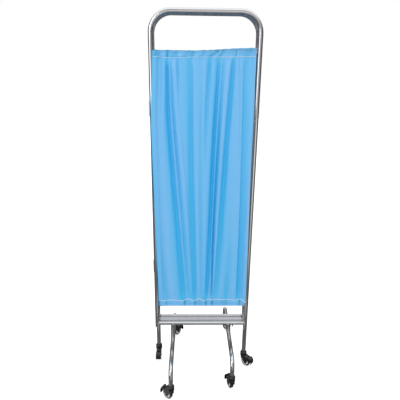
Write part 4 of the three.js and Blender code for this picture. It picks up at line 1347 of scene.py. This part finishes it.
def look_from(stage):
    """The camera's place and turn, from where the photograph was taken."""
    origin = PANEL_AT["front"]
    top = TOP_LINE + TUBE_RADIUS
    place = Vector((origin.x + stage.across, origin.y - stage.distance, top - stage.below_top))
    forward = Vector((
        math.sin(stage.yaw) * math.cos(stage.pitch), math.cos(stage.yaw) * math.cos(stage.pitch),
        -math.sin(stage.pitch)))
    up = Vector((
        math.sin(stage.yaw) * math.sin(stage.pitch), math.cos(stage.yaw) * math.sin(stage.pitch),
        math.cos(stage.pitch)))
    right = Vector((math.cos(stage.yaw), -math.sin(stage.yaw), 0))
    right_rolled = right * math.cos(stage.roll) + up * math.sin(stage.roll)
    up_rolled = up * math.cos(stage.roll) - right * math.sin(stage.roll)
    turn = Matrix((right_rolled, up_rolled, -forward)).transposed().to_4x4()
    return Matrix.Translation(place) @ turn


def make_camera(stage):
    data = bpy.data.cameras.new("camera")
    data.sensor_width = SENSOR_WIDTH
    data.lens = stage.focal * SENSOR_WIDTH / IMAGE_SIDE
    data.shift_y = (OPTICAL_AXIS_ROW - IMAGE_SIDE / 2) / IMAGE_SIDE
    data.clip_end = 60
    camera = in_scene("camera", data)
    camera.matrix_world = look_from(stage)
    bpy.context.scene.camera = camera


def facing(shader, vector, side, edge, soft):
    """1 where a direction points to one side, 0 away from it."""
    level = shader.vector("NORMALIZE", shader.vector("MULTIPLY", vector, (1, 1, 0)))
    return shader.vector("DOT_PRODUCT", level, side, output="Value").above(edge, soft)


def lit_patch(across, ahead, middle, half_width, blur, nearest, near_blur, farthest, far_blur):
    """1 within a patch of the floor, 0 round it."""
    within = 1 - (across - middle).size().above(half_width, blur)
    return within * ahead.above(nearest, near_blur) * (1 - ahead.above(farthest, far_blur))


def light_path(shader):
    """The rays that see through to the background, and those that a surface mirrors."""
    camera, _, _, glossy, _, _, through, *_ = shader.node("ShaderNodeLightPath", output=None)
    return camera + through, glossy


def floor_material():
    """White to the eye and pale to soft light, with the object's shadow; to the steel it glows dark grey with painted
    pools of light, brighter far off, mirrored as highlights.
    """
    shader = material("pale_floor")
    seen, glossy = light_path(shader)
    place = shader.place()
    across, north, _ = shader.axes(place)
    distance = shader.vector("LENGTH", place, output="Value")
    # the glow that the steel mirrors carries painted light: a bright far sector to the right front and lit patches
    # near the feet, on dark grey, brighter with distance
    lit = facing(shader, place, RIGHT_SCREEN, 0.84, 0.11) * distance.above(0.9, 0.5)
    for patch in LIT_PATCHES:
        lit = lit + lit_patch(across, 0 - north, *patch)
    bright = shader.mixed(distance.above(1.2, 2.4), (0.62, 0.58, 0.53, 1), (0.95, 0.93, 0.90, 1))
    painted_floor_light = shader.mixed(lit, (0.16, 0.16, 0.165, 1), bright)
    glow = shader.node("ShaderNodeEmission", {}, {"Color": WHITE, "Strength": 0.55})
    chalk = shader.node("ShaderNodeBsdfDiffuse", {}, {"Color": (0.85, 0.85, 0.85, 1)})
    mirrored = shader.node("ShaderNodeEmission", {}, {"Color": painted_floor_light, "Strength": 1.0})
    white = shader.node("ShaderNodeAddShader", {}, (glow, chalk))
    return shader.surface(shader.chosen(seen, shader.chosen(glossy, chalk, mirrored), white))


def make_floor():
    bm = bmesh.new()
    bmesh.ops.create_grid(bm, x_segments=1, y_segments=1, size=FLOOR_HALF_WIDTH)
    mesh = mesh_from(bm, "floor")
    mesh.materials.append(floor_material())
    floor = in_scene("floor", mesh)
    floor.location.z = -FLOOR_DROP


def make_world(stage):
    """White to the eye and even in soft light; the steel mirrors the white backdrop in a dim studio."""
    world = bpy.data.worlds.new("studio")
    bpy.context.scene.world = world
    world.cycles.sampling_method = "NONE"
    sky = Shader(world)
    direction = sky.node("ShaderNodeTexCoord", output="Generated")
    _, north, up = sky.axes(direction)
    raised = up * 0.5 + 0.5
    mirrored = sky.vector("ADD", sky.ramp(raised, *ROOM_STOPS), sky.ramp(north * 0.5 + 0.5, *FRONT_STOPS))
    low = 1 - up.above(0.3, 0.35)
    for side, share, edge, soft in ((LEFT_SCREEN, 1, 0.88, 0.08), (RIGHT_SCREEN, 0.35, 0.93, 0.05)):
        shown = facing(sky, direction, side, edge, soft) * low
        mirrored = sky.mixed(shown, mirrored, rgba((stage.screen,) * 3, share))
    mirrored = sky.mixed(north.above(0.86, 0.06), mirrored, WHITE)
    seen, glossy = light_path(sky)
    backdrop, studio, even = (
        sky.node("ShaderNodeBackground", {}, {"Color": colour, "Strength": strength})
        for colour, strength in ((WHITE, 1.0), (mirrored, 1.0), (sky.ramp(raised, *SKY_STOPS), stage.sky)))
    sky.surface(sky.chosen(seen, sky.chosen(glossy, even, studio), backdrop), "ShaderNodeOutputWorld")


def make_lamp(stage):
    data = bpy.data.lights.new("key", "AREA")
    data.size = LAMP_SIZE
    data.energy = stage.lamp
    lamp = in_scene("key", data)
    lamp.location = LAMP_PLACE
    lamp.rotation_euler = (LAMP_TARGET - LAMP_PLACE).to_track_quat("-Z", "Y").to_euler()


# Operators


class WardOperator(Operator):
    """A step that builds part of the screen."""

    bl_options = {"REGISTER", "UNDO"}

    def each(self, make, names):
        """Makes the pieces of each name in turn."""
        for name in names:
            make(name)
        return {"FINISHED"}


class WARD_OT_stage(WardOperator):
    """Set the camera, the floor, the world and the lamp"""

    bl_idname = "ward.stage"
    bl_label = "Stage"

    def execute(self, context):
        stage = context.scene.ward_screen.stage
        context.scene.view_settings.view_transform = "Standard"
        make_camera(stage)
        make_floor()
        make_world(stage)
        make_lamp(stage)
        return {"FINISHED"}


class WARD_OT_frames(WardOperator):
    """Bend the frames and set their crossbars"""

    bl_idname = "ward.frames"
    bl_label = "Frames and crossbars"

    def execute(self, context):
        for panel in PANELS:
            frame_piece(panel)
            crossbar_piece(panel)
        return {"FINISHED"}


class WARD_OT_feet(WardOperator):
    """Bend the arched feet of the outer panels"""

    bl_idname = "ward.feet"
    bl_label = "Feet"

    def execute(self, context):
        return self.each(foot_piece, OUTER_PANELS)


class WARD_OT_welds(WardOperator):
    """Lay the weld beads where tubes meet"""

    bl_idname = "ward.welds"
    bl_label = "Welds"

    def execute(self, context):
        return self.each(welds_piece, PANELS)


class WARD_OT_rods(WardOperator):
    """Set the curtain rods in the uprights"""

    bl_idname = "ward.rods"
    bl_label = "Curtain rods"

    def execute(self, context):
        return self.each(rod_pieces, PANELS)


class WARD_OT_hinges(WardOperator):
    """Join the panels with barrel hinges"""

    bl_idname = "ward.hinges"
    bl_label = "Hinges"

    def execute(self, context):
        return self.each(hinge_pieces, HINGES)


class WARD_OT_curtains(WardOperator):
    """Gather the curtains on their rods and stitch their pockets"""

    bl_idname = "ward.curtains"
    bl_label = "Curtains"

    def execute(self, context):
        return self.each(curtain_piece, PANELS)


class WARD_OT_casters(WardOperator):
    """Mould the castors with their wheels and brake pedals"""

    bl_idname = "ward.casters"
    bl_label = "Castors"

    def execute(self, context):
        caster_pieces()
        return {"FINISHED"}


class WARD_PT_sidebar(Panel):
    """The screen's settings and steps"""

    bl_idname = "WARD_PT_sidebar"
    bl_label = "Ward screen"
    bl_space_type = "VIEW_3D"
    bl_region_type = "UI"
    bl_category = "Ward screen"

    def draw(self, context):
        screen = context.scene.ward_screen
        for group in (screen.tube, screen.curtain, screen.caster, screen.stage):
            box = self.layout.box()
            for key in group.__annotations__:
                box.prop(group, key)
        for operator in OPERATORS:
            self.layout.operator(operator.bl_idname)


OPERATORS = (
    WARD_OT_stage, WARD_OT_frames, WARD_OT_feet, WARD_OT_welds, WARD_OT_rods, WARD_OT_hinges,
    WARD_OT_curtains, WARD_OT_casters)
CLASSES = (
    TubeSettings, CurtainSettings, CasterSettings, StageSettings, WardScreenSettings, *OPERATORS, WARD_PT_sidebar)


def register():
    for cls in CLASSES:
        bpy.utils.register_class(cls)
    bpy.types.Scene.ward_screen = PointerProperty(type=WardScreenSettings)


def unregister():
    del bpy.types.Scene.ward_screen
    for cls in reversed(CLASSES):
        bpy.utils.unregister_class(cls)


def main():
    register()
    bpy.ops.ward.stage()
    bpy.ops.ward.frames()
    bpy.ops.ward.feet()
    bpy.ops.ward.welds()
    bpy.ops.ward.rods()
    bpy.ops.ward.hinges()
    bpy.ops.ward.curtains()
    bpy.ops.ward.casters()


if __name__ == "__main__":
    main()
